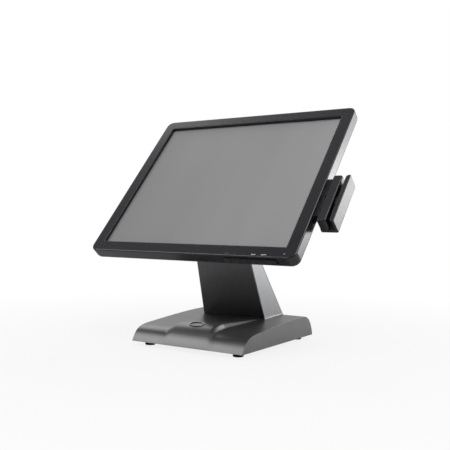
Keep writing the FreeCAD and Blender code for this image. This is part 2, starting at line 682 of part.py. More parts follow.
def display_stack():
    """Gasket, glass, panel and chassis plate, one behind the other."""
    body = new_body("touch_gasket")
    ring = new_sketch(body, "gasket_ring", offset="-dims.lip_depth-dims.gasket_thick")
    add_centred(ring, "dims.gasket_w", "dims.gasket_high")
    add_centred(ring, "dims.window_w+0.6", "dims.window_high+0.6")
    pad(body, ring, "dims.gasket_thick")
    keep(body, "touch_gasket", HEAD)
    flat_layer("touch_glass", "dims.glass_w", "dims.glass_high",
               "-dims.lip_depth-dims.gasket_thick-dims.glass_thick", "dims.glass_thick", "1.5")
    flat_layer("lcd_panel", "dims.panel_w", "dims.panel_high", "-dims.panel_back",
               "dims.panel_back-dims.panel_front", "2")
    screws = [(sx + "dims.panel_screw_x", sy + "dims.panel_screw_y", "1.7")
              for sx in ("-", "") for sy in ("-", "")]
    flat_layer("panel_chassis", "dims.chassis_w", "dims.chassis_high",
               "-dims.chassis_front-dims.chassis_thick", "dims.chassis_thick", "4", screws)
    back = -size("chassis_front") - size("chassis_thick")
    tops = corners_of(size("panel_screw_x"), size("panel_screw_y"), back - 1.2)
    screw_group("panel_screws", tops, UP, 1.5, 1.6, 2.8, 1.2, HEAD)


def rounded_wire(half_x, half_y, corner, level):
    """Rounded rectangle as a wire at one level."""
    plate = slab((-half_x, -half_y, level), (half_x, half_y, level + 1))
    plate = plate.makeFillet(corner, [e for e in plate.Edges if along(2)(e)])
    return min(plate.Faces, key=lambda face: face.CenterOfMass.z).OuterWire


def rear_solid(inset):
    """Outside of the rear cover, or with an inset the room inside it."""
    half_x = size("head_w") / 2 - size("rim_inset") - inset
    half_y = size("head_high") / 2 - size("rim_inset") - inset
    top = -size("bezel_depth")
    knee = -size("rim_back")
    hump = -size("hump_back") + inset
    hump_x = size("hump_w") / 2 - inset
    hump_y = size("hump_high") / 2 - inset
    corner = size("rear_corner")
    rim = Part.makeLoft([rounded_wire(half_x, half_y, corner, top),
                         rounded_wire(half_x, half_y, corner, knee)], True, True)
    taper = Part.makeLoft([rounded_wire(half_x, half_y, corner, knee),
                           rounded_wire(hump_x, hump_y, size("hump_corner"), hump)], True, True)
    return rim.fuse(taper)


def rear_cover():
    wall = size("rear_wall")
    outer = rear_solid(0.0)
    shell = outer.cut(rear_solid(wall))
    left, right = size("bay_left"), size("bay_right")
    low, top = size("bay_low"), size("bay_top")
    back, floor = -size("hump_back") - 5, -size("bay_floor")
    lining = slab((left - wall, low - wall, back), (right + wall, top + wall, floor + wall))
    shell = shell.fuse(lining.common(outer)).cut(slab((left, low, back), (right, top, floor)))
    cuts = []
    for half in (-1, 1):
        for i in range(int(size("vent_count"))):
            middle = (i - (size("vent_count") - 1) / 2) * size("vent_pitch")
            across = half * size("vent_long") * 0.75
            wide = size("vent_wide") / 2
            centre_y = size("vent_high")
            cuts.append(slab((middle - wide, centre_y + across - size("vent_long") / 2, back),
                             (middle + wide, centre_y + across + size("vent_long") / 2, -40)))
    for place in corners_of(size("vesa_pitch") / 2, size("vesa_pitch") / 2, back):
        cuts.append(drum(place, UP, size("vesa_screw_r") + 0.25, 20))
    for place in rear_screw_spots():
        cuts.append(drum(place - UP * 5, UP, 3.1, 6.2))
        cuts.append(drum(place, UP, 1.8, 20))
    for name, (centre, wide, tall) in ports().items():
        cuts.append(port_block(centre, wide + 0.4, tall + 0.4, 6.0))
    return feature_shape("rear_cover", shell.cut(cuts).removeSplitter(), HEAD)


def rear_screw_spots():
    """Sunk screws that join the rear cover to the posts of the bezel."""
    return corners_of(size("post_x"), size("post_y"), -size("rim_back") - 1.6)


def rear_parts():
    screw_group("rear_cover_screws", rear_screw_spots(), UP, 1.5, 8.0, 2.8, 1.2, HEAD)
    back = -size("hump_back") - size("vesa_thick")
    tops = corners_of(size("vesa_pitch") / 2, size("vesa_pitch") / 2, back - 2.0)
    screw_group("bracket_screws", tops, UP, size("vesa_screw_r"), 8.0, 3.8, 2.0, HEAD)


# ---- electronics inside the head ---------------------------------------------------------


def ports():
    """Ports in the roof of the bay: centre across, width and height of each."""
    return {"power_jack": (-103.0, 9.0, 11.0), "video_socket": (-81.0, 24.0, 10.0),
            "usb_socket": (-61.5, 8.0, 9.0)}


def port_block(centre, wide, tall, reach):
    """Block that runs down through the roof of the bay."""
    middle = -size("bay_floor") - size("port_behind")
    roof = size("bay_top")
    return slab((centre - wide / 2, roof - reach / 2 + 1, middle - tall / 2),
                (centre + wide / 2, roof + reach / 2 + 1, middle + tall / 2))


def port_parts():
    middle = -size("bay_floor") - size("port_behind")
    for name, (centre, wide, tall) in ports().items():
        block = port_block(centre, wide, tall, 7.0)
        low = block.BoundBox.YMin
        mouth = Vector(centre, low - 1, middle)
        along_v = Vector(0, 1, 0)
        if name == "power_jack":
            block = block.cut(drum(mouth, along_v, 3.1, 4).cut(drum(mouth, along_v, 1.0, 5)))
        elif name == "video_socket":
            shell = slab((centre - 8.2, low - 4.5, middle - 3.9),
                         (centre + 8.2, low, middle + 3.9))
            shell = shell.makeFillet(2.4, [e for e in shell.Edges if along(1)(e)])
            block = block.fuse(shell)
            for side in (-10.2, 10.2):
                post = drum(Vector(centre + side, low - 3.0, middle), along_v, 1.4, 3.0)
                block = block.fuse(post)
        else:
            block = block.cut(slab((centre - 2.9, low - 1, middle - 3.4),
                                   (centre + 2.9, low + 3, middle + 3.4)))
            block = block.fuse(slab((centre - 1.4, low + 0.5, middle - 1.2),
                                    (centre + 1.4, low + 3, middle + 1.2)))
        feature_shape(name, block, HEAD)


def boards():
    front = size("board_front")
    back = -front - size("board_thick")
    chassis_back = -size("chassis_front") - size("chassis_thick")
    plans = {"main_board": (-110.0, 45.0, -48.0, 60.0), "power_board": (58.0, 112.0, -80.0, 60.0),
             "touch_board": (-40.0, 40.0, -88.0, -56.0)}
    chips = {"main_board": [(-60, 20, 28, 28, 2.4), (-20, 25, 16, 10, 1.4), (-90, -20, 18, 12, 2.0),
                            (-15, -20, 20, 6, 5.0), (20, 35, 14, 14, 1.4)],
             "power_board": [(78, 30, 24, 30, 9.0), (98, -20, 12, 12, 10.0), (74, -30, 14, 22, 8.0),
                             (92, -62, 20, 8, 6.0)],
             "touch_board": [(-10, -72, 12, 12, 1.4), (20, -72, 14, 6, 4.0)]}
    for name, (left, right, low, top) in plans.items():
        board = slab((left, low, back), (right, top, -front))
        for x, y, wide, tall, thick in chips[name]:
            chip = slab((x - wide / 2, y - tall / 2, back - thick),
                        (x + wide / 2, y + tall / 2, back))
            board = board.fuse(chip)
        spots = [Vector(x, y, 0) for x in (left + 5, right - 5) for y in (low + 5, top - 5)]
        board = board.cut([drum(spot + UP * (back - 1), UP, 1.7, 4) for spot in spots])
        feature_shape(name, board.removeSplitter(), HEAD)
        studs = []
        for spot in spots:
            start = spot + UP * -front
            stud = drum(start, UP, size("standoff_r"), front + chassis_back)
            studs.append(stud.cut(drum(start, UP, 1.6, 3.5)))
        feature_shape(name + "_standoffs", Part.makeCompound(studs), HEAD)
        tops = [spot + UP * (back - 1.2) for spot in spots]
        screw_group(name + "_screws", tops, UP, 1.5, 4.5, 2.6, 1.2, HEAD)


# ---- keys under the bezel ----------------------------------------------------------------

KEYS = ("select", "down", "up", "menu", "power")


def key_middle(i):
    return size("key_first") + i * size("key_pitch")


def key_parts():
    bottom = -half_high
    deep = size("key_deep") / 2
    mid = size("key_mid")
    wide = size("key_w") / 2
    proud = size("key_proud")
    strip_low = bottom - size("strip_thick")
    strip = slab((size("strip_left"), strip_low, size("strip_back")),
                 (size("strip_right"), bottom, size("strip_front")))
    strip = strip.makeFillet(0.6, [e for e in strip.Edges
                                   if abs(e.BoundBox.YMax - strip_low) < 0.01])
    gap = size("key_gap")
    for i in range(len(KEYS)):
        x = key_middle(i)
        strip = strip.cut(slab((x - wide - gap, bottom - 5, mid - deep - gap),
                               (x + wide + gap, bottom + 5, mid + deep + gap)))
    feature_shape("key_strip", strip.removeSplitter(), HEAD)
    tip_low = bottom + 5.8
    for i, key in enumerate(KEYS):
        x = key_middle(i)
        body = new_body("key_" + key)
        outline = new_sketch(body, "cap_" + key, "XZ_Plane",
                             offset="dims.head_high/2+dims.key_proud")
        add_rectangle(outline, "%s-dims.key_w/2" % x, "%s+dims.key_w/2" % x,
                      "dims.key_mid-dims.key_deep/2", "dims.key_mid+dims.key_deep/2")
        cap = body.newObject("PartDesign::Pad", "push_" + key)
        cap.Profile = outline
        cap.Reversed = True
        cap.setExpression("Length", "dims.key_proud+4.7")
        doc.recompute()
        round_edges(body, cap, "0.7", at_level(1, bottom - proud))
        keep(body, "key_" + key, HEAD)
    board_low = tip_low + 2.3
    board = slab((73.0, board_low, mid - 4.5), (157.0, board_low + 1.6, mid + 4.5))
    for i in range(len(KEYS)):
        x = key_middle(i)
        case = slab((x - 3, tip_low + 0.6, mid - 3), (x + 3, board_low, mid + 3))
        tip = drum(Vector(x, tip_low, mid), Vector(0, 1, 0), 1.2, 0.6)
        board = board.fuse([case, tip])
    feature_shape("key_board", board.removeSplitter(), HEAD)
    light = drum(Vector(size("light_u"), size("light_v"), -5.0), UP, size("light_r"), 5.2)
    light = light.makeFillet(0.3, [e for e in light.Edges if at_level(2, 0.2)(e)])
    feature_shape("power_light", light, HEAD)


# ---- card reader -------------------------------------------------------------------------


def reader():
    low, top = size("reader_low"), size("reader_top")
    front, back, floor = size("reader_front"), size("reader_back"), size("slot_floor")
    left, inner = size("reader_in"), size("slot_in")
    outer, right = size("slot_out"), size("reader_out")
    edge = size("head_w") / 2
    bracket = slab((edge, low + size("mount_low_in"), back + size("mount_back_in")),
                   (left, top - size("mount_top_in"), front - size("mount_front_in")))
    bracket = bracket.makeFillet(2.0, [e for e in bracket.Edges if along(0)(e)])
    feature_shape("reader_bracket", bracket, HEAD)
    half = size("read_head_half")
    head_low, head_top = (low + top) / 2 - half, (low + top) / 2 + half
    head_back, head_front = size("read_head_back"), size("read_head_front")
    rail = slab((left, low, floor), (inner, top, front))
    rounded = [e for e in rail.Edges if at_level(2, front)(e)]
    rail = rail.makeFillet(size("rail_round"), rounded)
    # room for the head and its spring, open to the slot
    rail = rail.cut(slab((inner - 7.5, head_low - 0.4, head_back - 0.4),
                         (inner + 1, head_top + 0.4, head_front + 0.4)))
    # room for the reader's board
    rail = rail.cut(slab((left + 2, low + 6, floor - 1), (left + 5.4, top - 6, -8)))
    feature_shape("reader_rail", rail, HEAD)
    channel = slab((left, low, back), (right, top, floor))
    channel = channel.makeFillet(1.0, [e for e in channel.Edges if at_level(2, back)(e)])
    feature_shape("reader_channel", channel, HEAD)
    cover = slab((outer, low, floor), (right, top, front))
    cover = cover.makeFillet(1.2, [e for e in cover.Edges if at_level(2, front)(e)])
    feature_shape("reader_cover", cover, HEAD)
    head = slab((inner - 5.0, head_low, head_back), (inner + 0.5, head_top, head_front))
    head = head.makeFillet(0.45, [e for e in head.Edges if at_level(0, inner + 0.5)(e)])
    feature_shape("read_head", head, HEAD)
    spring = slab((inner - 7.4, head_low, -17.0), (inner - 7.0, head_top, -13.0))
    feature_shape("read_head_spring", spring, HEAD)
    board = slab((left + 2.4, low + 8, floor + 0.5), (left + 4.0, top - 8, -9.5))
    feature_shape("reader_board", board, HEAD)


base_cover()
base_plate()
feet()
plate_low = size("plate_low")
screw_group("base_cover_screws", cover_screw_places(plate_low - 1.6), UP, 1.7, 10.0, 3.2, 1.6, STAND)
badge()
cable_grommet()
neck_cover()
neck_rear_cover()
neck_rear_screws()
neck_frame()
flange_top = plate_low + size("plate_thick") + size("frame_sheet")
screw_group("frame_bolts", frame_bolt_places(flange_top + 3.0), DOWN, 2.5, 5.5, 4.2, 3.0, STAND)
tilt_bracket()
hinge_parts()
front_bezel()
display_stack()
rear_cover()
rear_parts()
boards()
port_parts()
key_parts()
reader()
doc.recompute()

for item in doc.Objects:
    if "Invalid" in item.State or "Error" in item.State:
        raise ValueError("%s failed: %s" % (item.Label, item.State))
os.makedirs("parts", exist_ok=True)
whole = FreeCAD.BoundBox()
for item in nodes:
    shape = item.Shape
    if shape.isNull() or not shape.isValid() or not shape.Solids:
        raise ValueError("%s has no sound shape" % item.Label)
    whole.add(shape.BoundBox)
    shape.exportStep(os.path.join("parts", item.Label + ".step"))
    print("%-26s %9.0f mm3  %d solid(s)" % (item.Label, shape.Volume, len(shape.Solids)))
print(len(nodes), "sub-parts in", whole)
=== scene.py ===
import json
import math

import bmesh
import bpy
from mathutils import Matrix, Vector


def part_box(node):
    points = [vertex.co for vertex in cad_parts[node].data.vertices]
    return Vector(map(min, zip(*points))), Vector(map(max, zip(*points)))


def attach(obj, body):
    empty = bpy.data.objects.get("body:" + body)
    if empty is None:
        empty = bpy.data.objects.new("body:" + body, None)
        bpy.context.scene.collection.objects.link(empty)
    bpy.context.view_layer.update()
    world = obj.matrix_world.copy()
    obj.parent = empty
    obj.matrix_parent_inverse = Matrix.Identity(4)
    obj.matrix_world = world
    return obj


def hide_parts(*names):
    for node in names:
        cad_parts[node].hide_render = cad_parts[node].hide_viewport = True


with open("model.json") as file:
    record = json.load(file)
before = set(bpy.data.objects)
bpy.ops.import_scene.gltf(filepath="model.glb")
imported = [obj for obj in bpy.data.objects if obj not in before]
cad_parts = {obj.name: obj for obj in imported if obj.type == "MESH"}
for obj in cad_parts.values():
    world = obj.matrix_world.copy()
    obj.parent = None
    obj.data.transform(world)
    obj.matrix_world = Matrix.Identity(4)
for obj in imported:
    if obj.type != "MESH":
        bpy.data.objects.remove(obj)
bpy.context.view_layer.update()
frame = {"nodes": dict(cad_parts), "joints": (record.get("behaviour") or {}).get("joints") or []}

mm = 0.001
joints = {joint["name"]: joint for joint in frame["joints"]}


# ---- studio ------------------------------------------------------------------------------
# A pale floor that runs out to white, soft lights behind both shoulders of the terminal and
# low at the right, a broad one overhead and one in front at the left. The room stays dim.

floor_radius = 40.0
bpy.context.scene.view_settings.view_transform = "Standard"


class Wire:
    """A socket that can be added, subtracted, multiplied and divided."""

    def __init__(self, tree, socket):
        self.tree = tree
        self.socket = socket

    def maths(self, operation, first, second):
        return self.tree.add("ShaderNodeMath", {"operation": operation}, {0: first, 1: second})

    def __add__(self, other):
        return self.maths("ADD", self, other)

    __radd__ = __add__

    def __sub__(self, other):
        return self.maths("SUBTRACT", self, other)

    def __rsub__(self, other):
        return self.maths("SUBTRACT", other, self)

    def __mul__(self, other):
        return self.maths("MULTIPLY", self, other)

    __rmul__ = __mul__

    def __truediv__(self, other):
        return self.maths("DIVIDE", self, other)


class Tree:
    """Nodes of one shader or one geometry tree, added by type, settings and values."""

    def __init__(self, nodes, links):
        self.nodes = nodes
        self.links = links

    def add(self, kind, settings=None, values=None, out=0):
        node = self.nodes.new(kind)
        for key, value in (settings or {}).items():
            setattr(node, key, value)
        for key, value in (values or {}).items():
            self.join(node, key, value)
        return Wire(self, node.outputs[out]) if len(node.outputs) else None

    def join(self, node, key, value):
        if isinstance(value, (list, tuple)) and value and isinstance(value[0], Wire):
            for wire in value:
                self.links.new(wire.socket, node.inputs[key])
        elif isinstance(value, Wire):
            self.links.new(value.socket, node.inputs[key])
        else:
            node.inputs[key].default_value = value


def grey(level):
    return (level, level, level, 1.0)


def new_material(name):
    """An empty material tree with its coordinates, and the output it will feed."""
    material = bpy.data.materials.new(name)
    material.use_nodes = True
    tree = Tree(material.node_tree.nodes, material.node_tree.links)
    tree.nodes.clear()
    tree.material = material
    tree.place = tree.add("ShaderNodeTexCoord", out="Object")
    return tree


def show(tree, surface):
    tree.add("ShaderNodeOutputMaterial", values={"Surface": surface})
    return tree.material


def pale_floor():
    tree = new_material("pale_floor")
    grain = tree.add("ShaderNodeTexNoise", values={"Vector": tree.place, "Scale": 60.0})
    colour = tree.add("ShaderNodeMix", {"data_type": "RGBA"},
                      {"Factor": grain, "A": grey(0.46), "B": grey(0.50)}, out="Result")
    paint = tree.add("ShaderNodeBsdfPrincipled",
                     values={"Base Color": colour, "Roughness": 0.8})
    glow = tree.add("ShaderNodeEmission", values={"Color": grey(1.0), "Strength": 1.0})
    reach = tree.add("ShaderNodeVectorMath", {"operation": "LENGTH"}, {0: tree.place}, out="Value")
    far = tree.add("ShaderNodeMapRange", {"interpolation_type": "SMOOTHSTEP"},
                   {"Value": reach, "From Min": 0.25, "From Max": 0.9, "To Min": 0.85})
    eye = tree.add("ShaderNodeLightPath", out="Is Camera Ray")
    share = far * (eye * 0.9 + 0.1)
    return show(tree, tree.add("ShaderNodeMixShader", values={0: share, 1: paint, 2: glow}))


def floor_disc():
    shape = bmesh.new()
    bmesh.ops.create_circle(shape, cap_ends=True, segments=96, radius=floor_radius)
    mesh = bpy.data.meshes.new("floor")
    shape.to_mesh(mesh)
    shape.free()
    disc = bpy.data.objects.new("floor", mesh)
    bpy.context.collection.objects.link(disc)
    mesh.materials.append(pale_floor())


def room():
    """White where the camera looks; as light, dim in front and brighter behind."""
    world = bpy.data.worlds.new("room")
    bpy.context.scene.world = world
    world.use_nodes = True
    tree = Tree(world.node_tree.nodes, world.node_tree.links)
    tree.nodes.clear()
    ray = tree.add("ShaderNodeTexCoord", out="Generated")
    depth = tree.add("ShaderNodeSeparateXYZ", values={"Vector": ray}, out="Y")
    back = tree.add("ShaderNodeMapRange", values={"Value": depth,
                                                  "From Min": -0.6, "From Max": 0.7,
                                                  "To Min": 0.10, "To Max": 0.75})
    light = tree.add("ShaderNodeBackground", values={"Color": grey(1.0), "Strength": back})
    seen = tree.add("ShaderNodeBackground", values={"Color": grey(1.0), "Strength": 1.0})
    eye = tree.add("ShaderNodeLightPath", out="Is Camera Ray")
    tree.add("ShaderNodeOutputWorld", values={
        "Surface": tree.add("ShaderNodeMixShader", values={0: eye, 1: light, 2: seen})})


def soft_light(name, place, aim, wide, high, watts):
    lamp = bpy.data.lights.new(name, "AREA")
    lamp.shape = "RECTANGLE"
    lamp.size = wide
    lamp.size_y = high
    lamp.energy = watts
    holder = bpy.data.objects.new(name, lamp)
    bpy.context.collection.objects.link(holder)
    holder.location = place
    holder.rotation_mode = "QUATERNION"
    holder.rotation_quaternion = (Vector(aim) - Vector(place)).to_track_quat("-Z", "Y")
    holder.visible_camera = False


def camera():
    """Eye a little below the middle of the screen, 33 degrees to the right of straight ahead."""
    turn, rise, roll = math.radians(32.913), math.radians(0.402), math.radians(0.656)
    back = Vector((math.sin(turn) * math.cos(rise), -math.cos(turn) * math.cos(rise),
                   math.sin(rise)))
    across = Vector((math.cos(turn), math.sin(turn), 0.0))
    up = back.cross(across)
    side = across * math.cos(roll) + up * math.sin(roll)
    top = up * math.cos(roll) - across * math.sin(roll)
    aim = Vector((-0.02667, 0.0149, 0.1928))
    place = aim + back * 1.1532
    lens = bpy.data.cameras.new("camera")
    lens.sensor_width = 36.0
    lens.lens = 55.12
    lens.clip_end = 100.0
    holder = bpy.data.objects.new("camera", lens)
    bpy.context.collection.objects.link(holder)
    holder.matrix_world = Matrix((
        (side.x, top.x, back.x, place.x), (side.y, top.y, back.y, place.y),
        (side.z, top.z, back.z, place.z), (0.0, 0.0, 0.0, 1.0)))
    bpy.context.scene.camera = holder


floor_disc()
room()
camera()
soft_light("right_back_light", (1.5, 1.9, 0.95), (0.1, 0.0, 0.25), 1.6, 1.5, 26.0)
soft_light("left_back_light", (-1.25, 0.85, 1.6), (-0.1, -0.1, 0.03), 1.2, 1.2, 9.0)
soft_light("back_light", (0.5, 2.2, 1.4), (0.0, 0.0, 0.1), 1.2, 1.0, 7.0)
soft_light("low_right_light", (1.7, 2.5, 0.25), (0.05, 0.0, 0.08), 1.8, 0.6, 16.0)
soft_light("overhead_light", (0.7, -0.7, 1.9), (0.0, 0.0, 0.1), 1.2, 1.2, 25.0)
soft_light("left_front_light", (-1.5, -1.5, 1.5), (-0.1, -0.1, 0.05), 1.3, 1.1, 20.0)


# ---- base cover --------------------------------------------------------------------------
# One shell with a rounded front edge, a raised centre that flows up from the front, and a
# rounded back. Painted gunmetal with fine brushed lines across, screwed on from below.

base_low, base_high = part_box("base_cover")
stand_x = (base_low.x + base_high.x) / 2
base_half = (base_high.x - base_low.x) / 2
base_front = base_low.y
base_back = base_high.y
rim_z = base_low.z
ridge_z = base_high.z
shoulder_z = ridge_z - 8.2 * mm
tail_z = ridge_z - 0.1 * mm


def bezier(ends, count):
    """Points along a cubic curve, the last one left off."""
    run = []
    for i in range(count):
        along = i / count
        back = 1 - along
        weights = (back ** 3, 3 * back * back * along, 3 * back * along * along, along ** 3)
        run.append((sum(w * p[0] for w, p in zip(weights, ends)),
                    sum(w * p[1] for w, p in zip(weights, ends))))
    return run


def side_line(ridge):
    """Side view of the base from its front edge over the top to its back edge, as (y, z)."""
    if ridge:
        crest = (base_front + 53.4 * mm, ridge_z)
        rise = [(base_front, rim_z), (base_front + 10.9 * mm, ridge_z - 8 * mm),
                (crest[0] - 25 * mm, ridge_z), crest]
    else:
        crest = (base_front + 49.4 * mm, shoulder_z)
        rise = [(base_front, rim_z), (base_front + 10.5 * mm, shoulder_z - 4.2 * mm),
                (crest[0] - 29.9 * mm, shoulder_z - 2.1 * mm), crest]
    tail = (base_back - 33.6 * mm, tail_z)
    third = (tail[0] - crest[0]) / 3
    lift = tail[1] - crest[1]
    top = [crest, (crest[0] + third, crest[1] + lift * 0.47),
           (tail[0] - third, tail[1] - lift * 0.07), tail]
    fall = [tail, (tail[0] + 19 * mm, tail_z + 0.3 * mm),
            (base_back - 4.1 * mm, rim_z + 20 * mm), (base_back, rim_z)]
    return bezier(rise, 44) + bezier(top, 60) + bezier(fall, 26) + [(base_back, rim_z)]


plain_line = side_line(False)
ridge_line = side_line(True)


def ridge_share(across, y):
    """How far the surface has risen from the plain side line to the raised centre.

    The raised centre widens towards the neck, and its flank narrows on the way.
    """
    onward = min(1.0, max(0.0, (y - base_front - 50 * mm) / (88 * mm)))
    foot = (43.5 + 13.5 * math.exp(-(y - base_front) / (13 * mm)) + 15.0 * onward) * mm
    head = (32.5 + 21.5 * onward) * mm
    step = min(1.0, max(0.0, (foot - abs(across)) / (foot - head)))
    return step * step * step * (step * (step * 6 - 15) + 10)


def base_height(across, y):
    """Height of the base's top at a place, for the pieces that stand on it."""
    heights = []
    for line in (plain_line, ridge_line):
        for (y0, z0), (y1, z1) in zip(line, line[1:]):
            if y0 <= y <= y1:
                heights.append(z0 + (z1 - z0) * (y - y0) / (y1 - y0))
                break
    share = ridge_share(across, y)
    return heights[0] * (1 - share) + heights[1] * share


def new_piece(name, points, faces, crease=35.0):
    """A mesh object with its doubles merged and its faces turned outwards."""
    mesh = bpy.data.meshes.new(name)
    mesh.from_pydata([tuple(point) for point in points], [], faces)
    shape = bmesh.new()
    shape.from_mesh(mesh)
    bmesh.ops.remove_doubles(shape, verts=shape.verts, dist=0.01 * mm)
    bmesh.ops.recalc_face_normals(shape, faces=shape.faces)
    shape.to_mesh(mesh)
    shape.free()
    piece = bpy.data.objects.new(name, mesh)
    bpy.context.collection.objects.link(piece)
    smooth(piece, crease)
    return piece


def smooth(piece, crease=35.0):
    mesh = piece.data
    mesh.polygons.foreach_set("use_smooth", [True] * len(mesh.polygons))
    mesh.set_sharp_from_angle(angle=math.radians(crease))


def settle(piece):
    """Turn what the modifiers make into the piece's plain mesh."""
    graph = bpy.context.evaluated_depsgraph_get()
    mesh = bpy.data.meshes.new_from_object(piece.evaluated_get(graph))
    old = piece.data
    piece.modifiers.clear()
    piece.data = mesh
    bpy.data.meshes.remove(old)
    mesh.name = piece.name
    return piece


def modify(piece, kind, **settings):
    modifier = piece.modifiers.new(kind.lower(), kind)
    for key, value in settings.items():
        setattr(modifier, key, value)
    return settle(piece)


def soften(piece, width, segments=3, angle=35.0):
    """Round the sharp edges of a piece."""
    modify(piece, "BEVEL", width=width, segments=segments, limit_method="ANGLE",
           angle_limit=math.radians(angle), harden_normals=False, use_clamp_overlap=True)
    shape = bmesh.new()
    shape.from_mesh(piece.data)
    bmesh.ops.remove_doubles(shape, verts=shape.verts, dist=0.004 * mm)
    bmesh.ops.dissolve_degenerate(shape, edges=shape.edges, dist=0.004 * mm)
    shape.to_mesh(piece.data)
    shape.free()
    smooth(piece, 50.0)
    return piece


def carve(piece, cutter, how="DIFFERENCE"):
    modify(piece, "BOOLEAN", object=cutter, operation=how, solver="EXACT")
    bpy.data.objects.remove(cutter)
    return piece


def block(name, low, high):
    """Plain box between two corners, as stock to cut from or to cut with."""
    xs, ys, zs = zip(low, high)
    points = [(x, y, z) for x in xs for y in ys for z in zs]
    faces = [(0, 1, 3, 2), (4, 6, 7, 5), (0, 4, 5, 1), (2, 3, 7, 6), (0, 2, 6, 4), (1, 5, 7, 3)]
    return new_piece(name, points, faces)


def loft(name, rings, capped=True, crease=35.0, closed=False):
    """Skin over rings of equal count, each a closed loop of points."""
    count = len(rings[0])
    points = [point for ring in rings for point in ring]
    faces = []
    pairs = len(rings) if closed else len(rings) - 1
    for i in range(pairs):
        start = i * count
        follow = ((i + 1) % len(rings)) * count
        for k in range(count):
            ahead = (k + 1) % count
            faces.append((start + k, start + ahead, follow + ahead, follow + k))
    if capped and not closed:
        faces.append(tuple(reversed(range(count))))
        faces.append(tuple(range(len(points) - count, len(points))))
    return new_piece(name, points, faces, crease)


def brushed(name, colour, rough, metal, line_axis, line_strength, coat=0.0):
    """Satin paint over metal with fine lines that run along one axis and soft mottling."""
    tree = new_material(name)
    fine, wide = [900.0] * 3, [160.0] * 3
    fine[line_axis] = 5.0
    wide[line_axis] = 3.0
    lines = []
    for scale, detail in ((fine, 3.0), (wide, 2.0)):
        spot = tree.add("ShaderNodeMapping", values={"Vector": tree.place, "Scale": scale})
        lines.append(tree.add("ShaderNodeTexNoise",
                              values={"Vector": spot, "Scale": 1.0, "Detail": detail}))
    streak = lines[0] * 0.65 + lines[1] * 0.35
    cloud = tree.add("ShaderNodeTexNoise", values={"Vector": tree.place, "Scale": 14.0,
                                                   "Detail": 4.0})
    tone = (streak - 0.5) * line_strength + (cloud - 0.5) * 0.25 + 0.5
    low = tuple(c * 0.62 for c in colour) + (1.0,)
    high = tuple(min(1.0, c * 1.38) for c in colour) + (1.0,)
    paint = tree.add("ShaderNodeMix", {"data_type": "RGBA"},
                     {"Factor": tone, "A": low, "B": high}, out="Result")
    bump = tree.add("ShaderNodeBump", values={"Strength": 0.12, "Distance": 0.00006,
                                              "Height": streak})
    body = tree.add("ShaderNodeBsdfPrincipled", values={
        "Base Color": paint, "Roughness": (streak - 0.5) * 0.30 + (cloud - 0.5) * 0.08 + rough,
        "Metallic": metal, "Normal": bump, "Coat Weight": coat, "Coat Roughness": 0.25})
    return show(tree, body)


def dress(piece, material, body, slot, *nodes):
    """Give a finished piece its material, its body and the nodes it stands for. The slot is not
    used.
    """
    modify(piece, "WEIGHTED_NORMAL", keep_sharp=True)
    piece.data.materials.clear()
    piece.data.materials.append(material)
    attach(piece, body)
    if nodes:
        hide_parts(*nodes)


def finish_nodes(material, *nodes):
    """Better material on pieces that keep the shape they were designed with."""
    for name in nodes:
        for place in frame["nodes"][name].material_slots:
            place.material = material


def base_columns():
    """Places across the base, close together on the flanks of the raised centre."""
    half = [0.0, 6, 12, 18, 23, 27, 30]
    half += [31.5 + 1.0 * i for i in range(28)]
    half += [62, 66, 71, 76, 82, 88, 94, 99, 101.5]
    half = [value * mm for value in half] + [base_half]
    return [-value for value in reversed(half[1:])] + half


def badge_seat():
    """Where the badge lies: its middle on the front of the raised centre, and its tilt."""
    y = base_front + 33.4 * mm
    step = 3 * mm
    ahead, behind = base_height(0.0, y + step), base_height(0.0, y - step)
    tilt = math.atan2(ahead - behind, 2 * step)
    return Matrix.Translation((stand_x, y, base_height(0.0, y))) @ Matrix.Rotation(tilt, 4, "X")


def oval_ring(long, wide, z, count=64):
    return [(long / 2 * math.cos(2 * math.pi * i / count),
             wide / 2 * math.sin(2 * math.pi * i / count), z) for i in range(count)]


def base_cover():
    columns = base_columns()
    rows = len(plain_line)
    points, faces = [], []
    for across in columns:
        for (y0, z0), (y1, z1) in zip(plain_line, ridge_line):
            share = ridge_share(across, y0)
            points.append((stand_x + across, y0 + (y1 - y0) * share, z0 + (z1 - z0) * share))
    for i in range(len(columns) - 1):
        for k in range(rows - 1):
            near = i * rows + k
            faces.append((near, near + 1, near + rows + 1, near + rows))
    last = (len(columns) - 1) * rows
    faces.append(tuple(range(rows)))
    faces.append(tuple(last + k for k in reversed(range(rows))))
    cover = new_piece("base_shell", points, faces)
    modify(cover, "SOLIDIFY", thickness=2.5 * mm, offset=-1.0, use_even_offset=True,
           use_quality_normals=True)
    for point in cover.data.vertices:
        point.co.z = max(point.co.z, rim_z)
    soften(cover, 0.9 * mm, 3, 50.0)
    seat = loft("seat", [oval_ring(28.6 * mm, 17.1 * mm, -1.3 * mm),
                         oval_ring(28.6 * mm, 17.1 * mm, 8 * mm)])
    seat.data.transform(badge_seat())
    carve(cover, seat)
    outlet_low, outlet_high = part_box("cable_grommet")
    carve(cover, block("outlet", outlet_low - Vector((0.1 * mm, 12 * mm, 9 * mm)),
                       outlet_high + Vector((0.1 * mm, 5 * mm, 0.1 * mm))))
    smooth(cover, 40.0)
    return cover


gunmetal = brushed("gunmetal", (0.125, 0.125, 0.127), 0.36, 0.8, 0, 1.2)
dress(base_cover(), gunmetal, "stand", "brushed_shell", "base_cover")


# ---- badge -------------------------------------------------------------------------------
# Small oval of black plastic pressed into its seat on the front of the base. It has a raised
# bright rim and a dished gloss middle, and carries no mark.


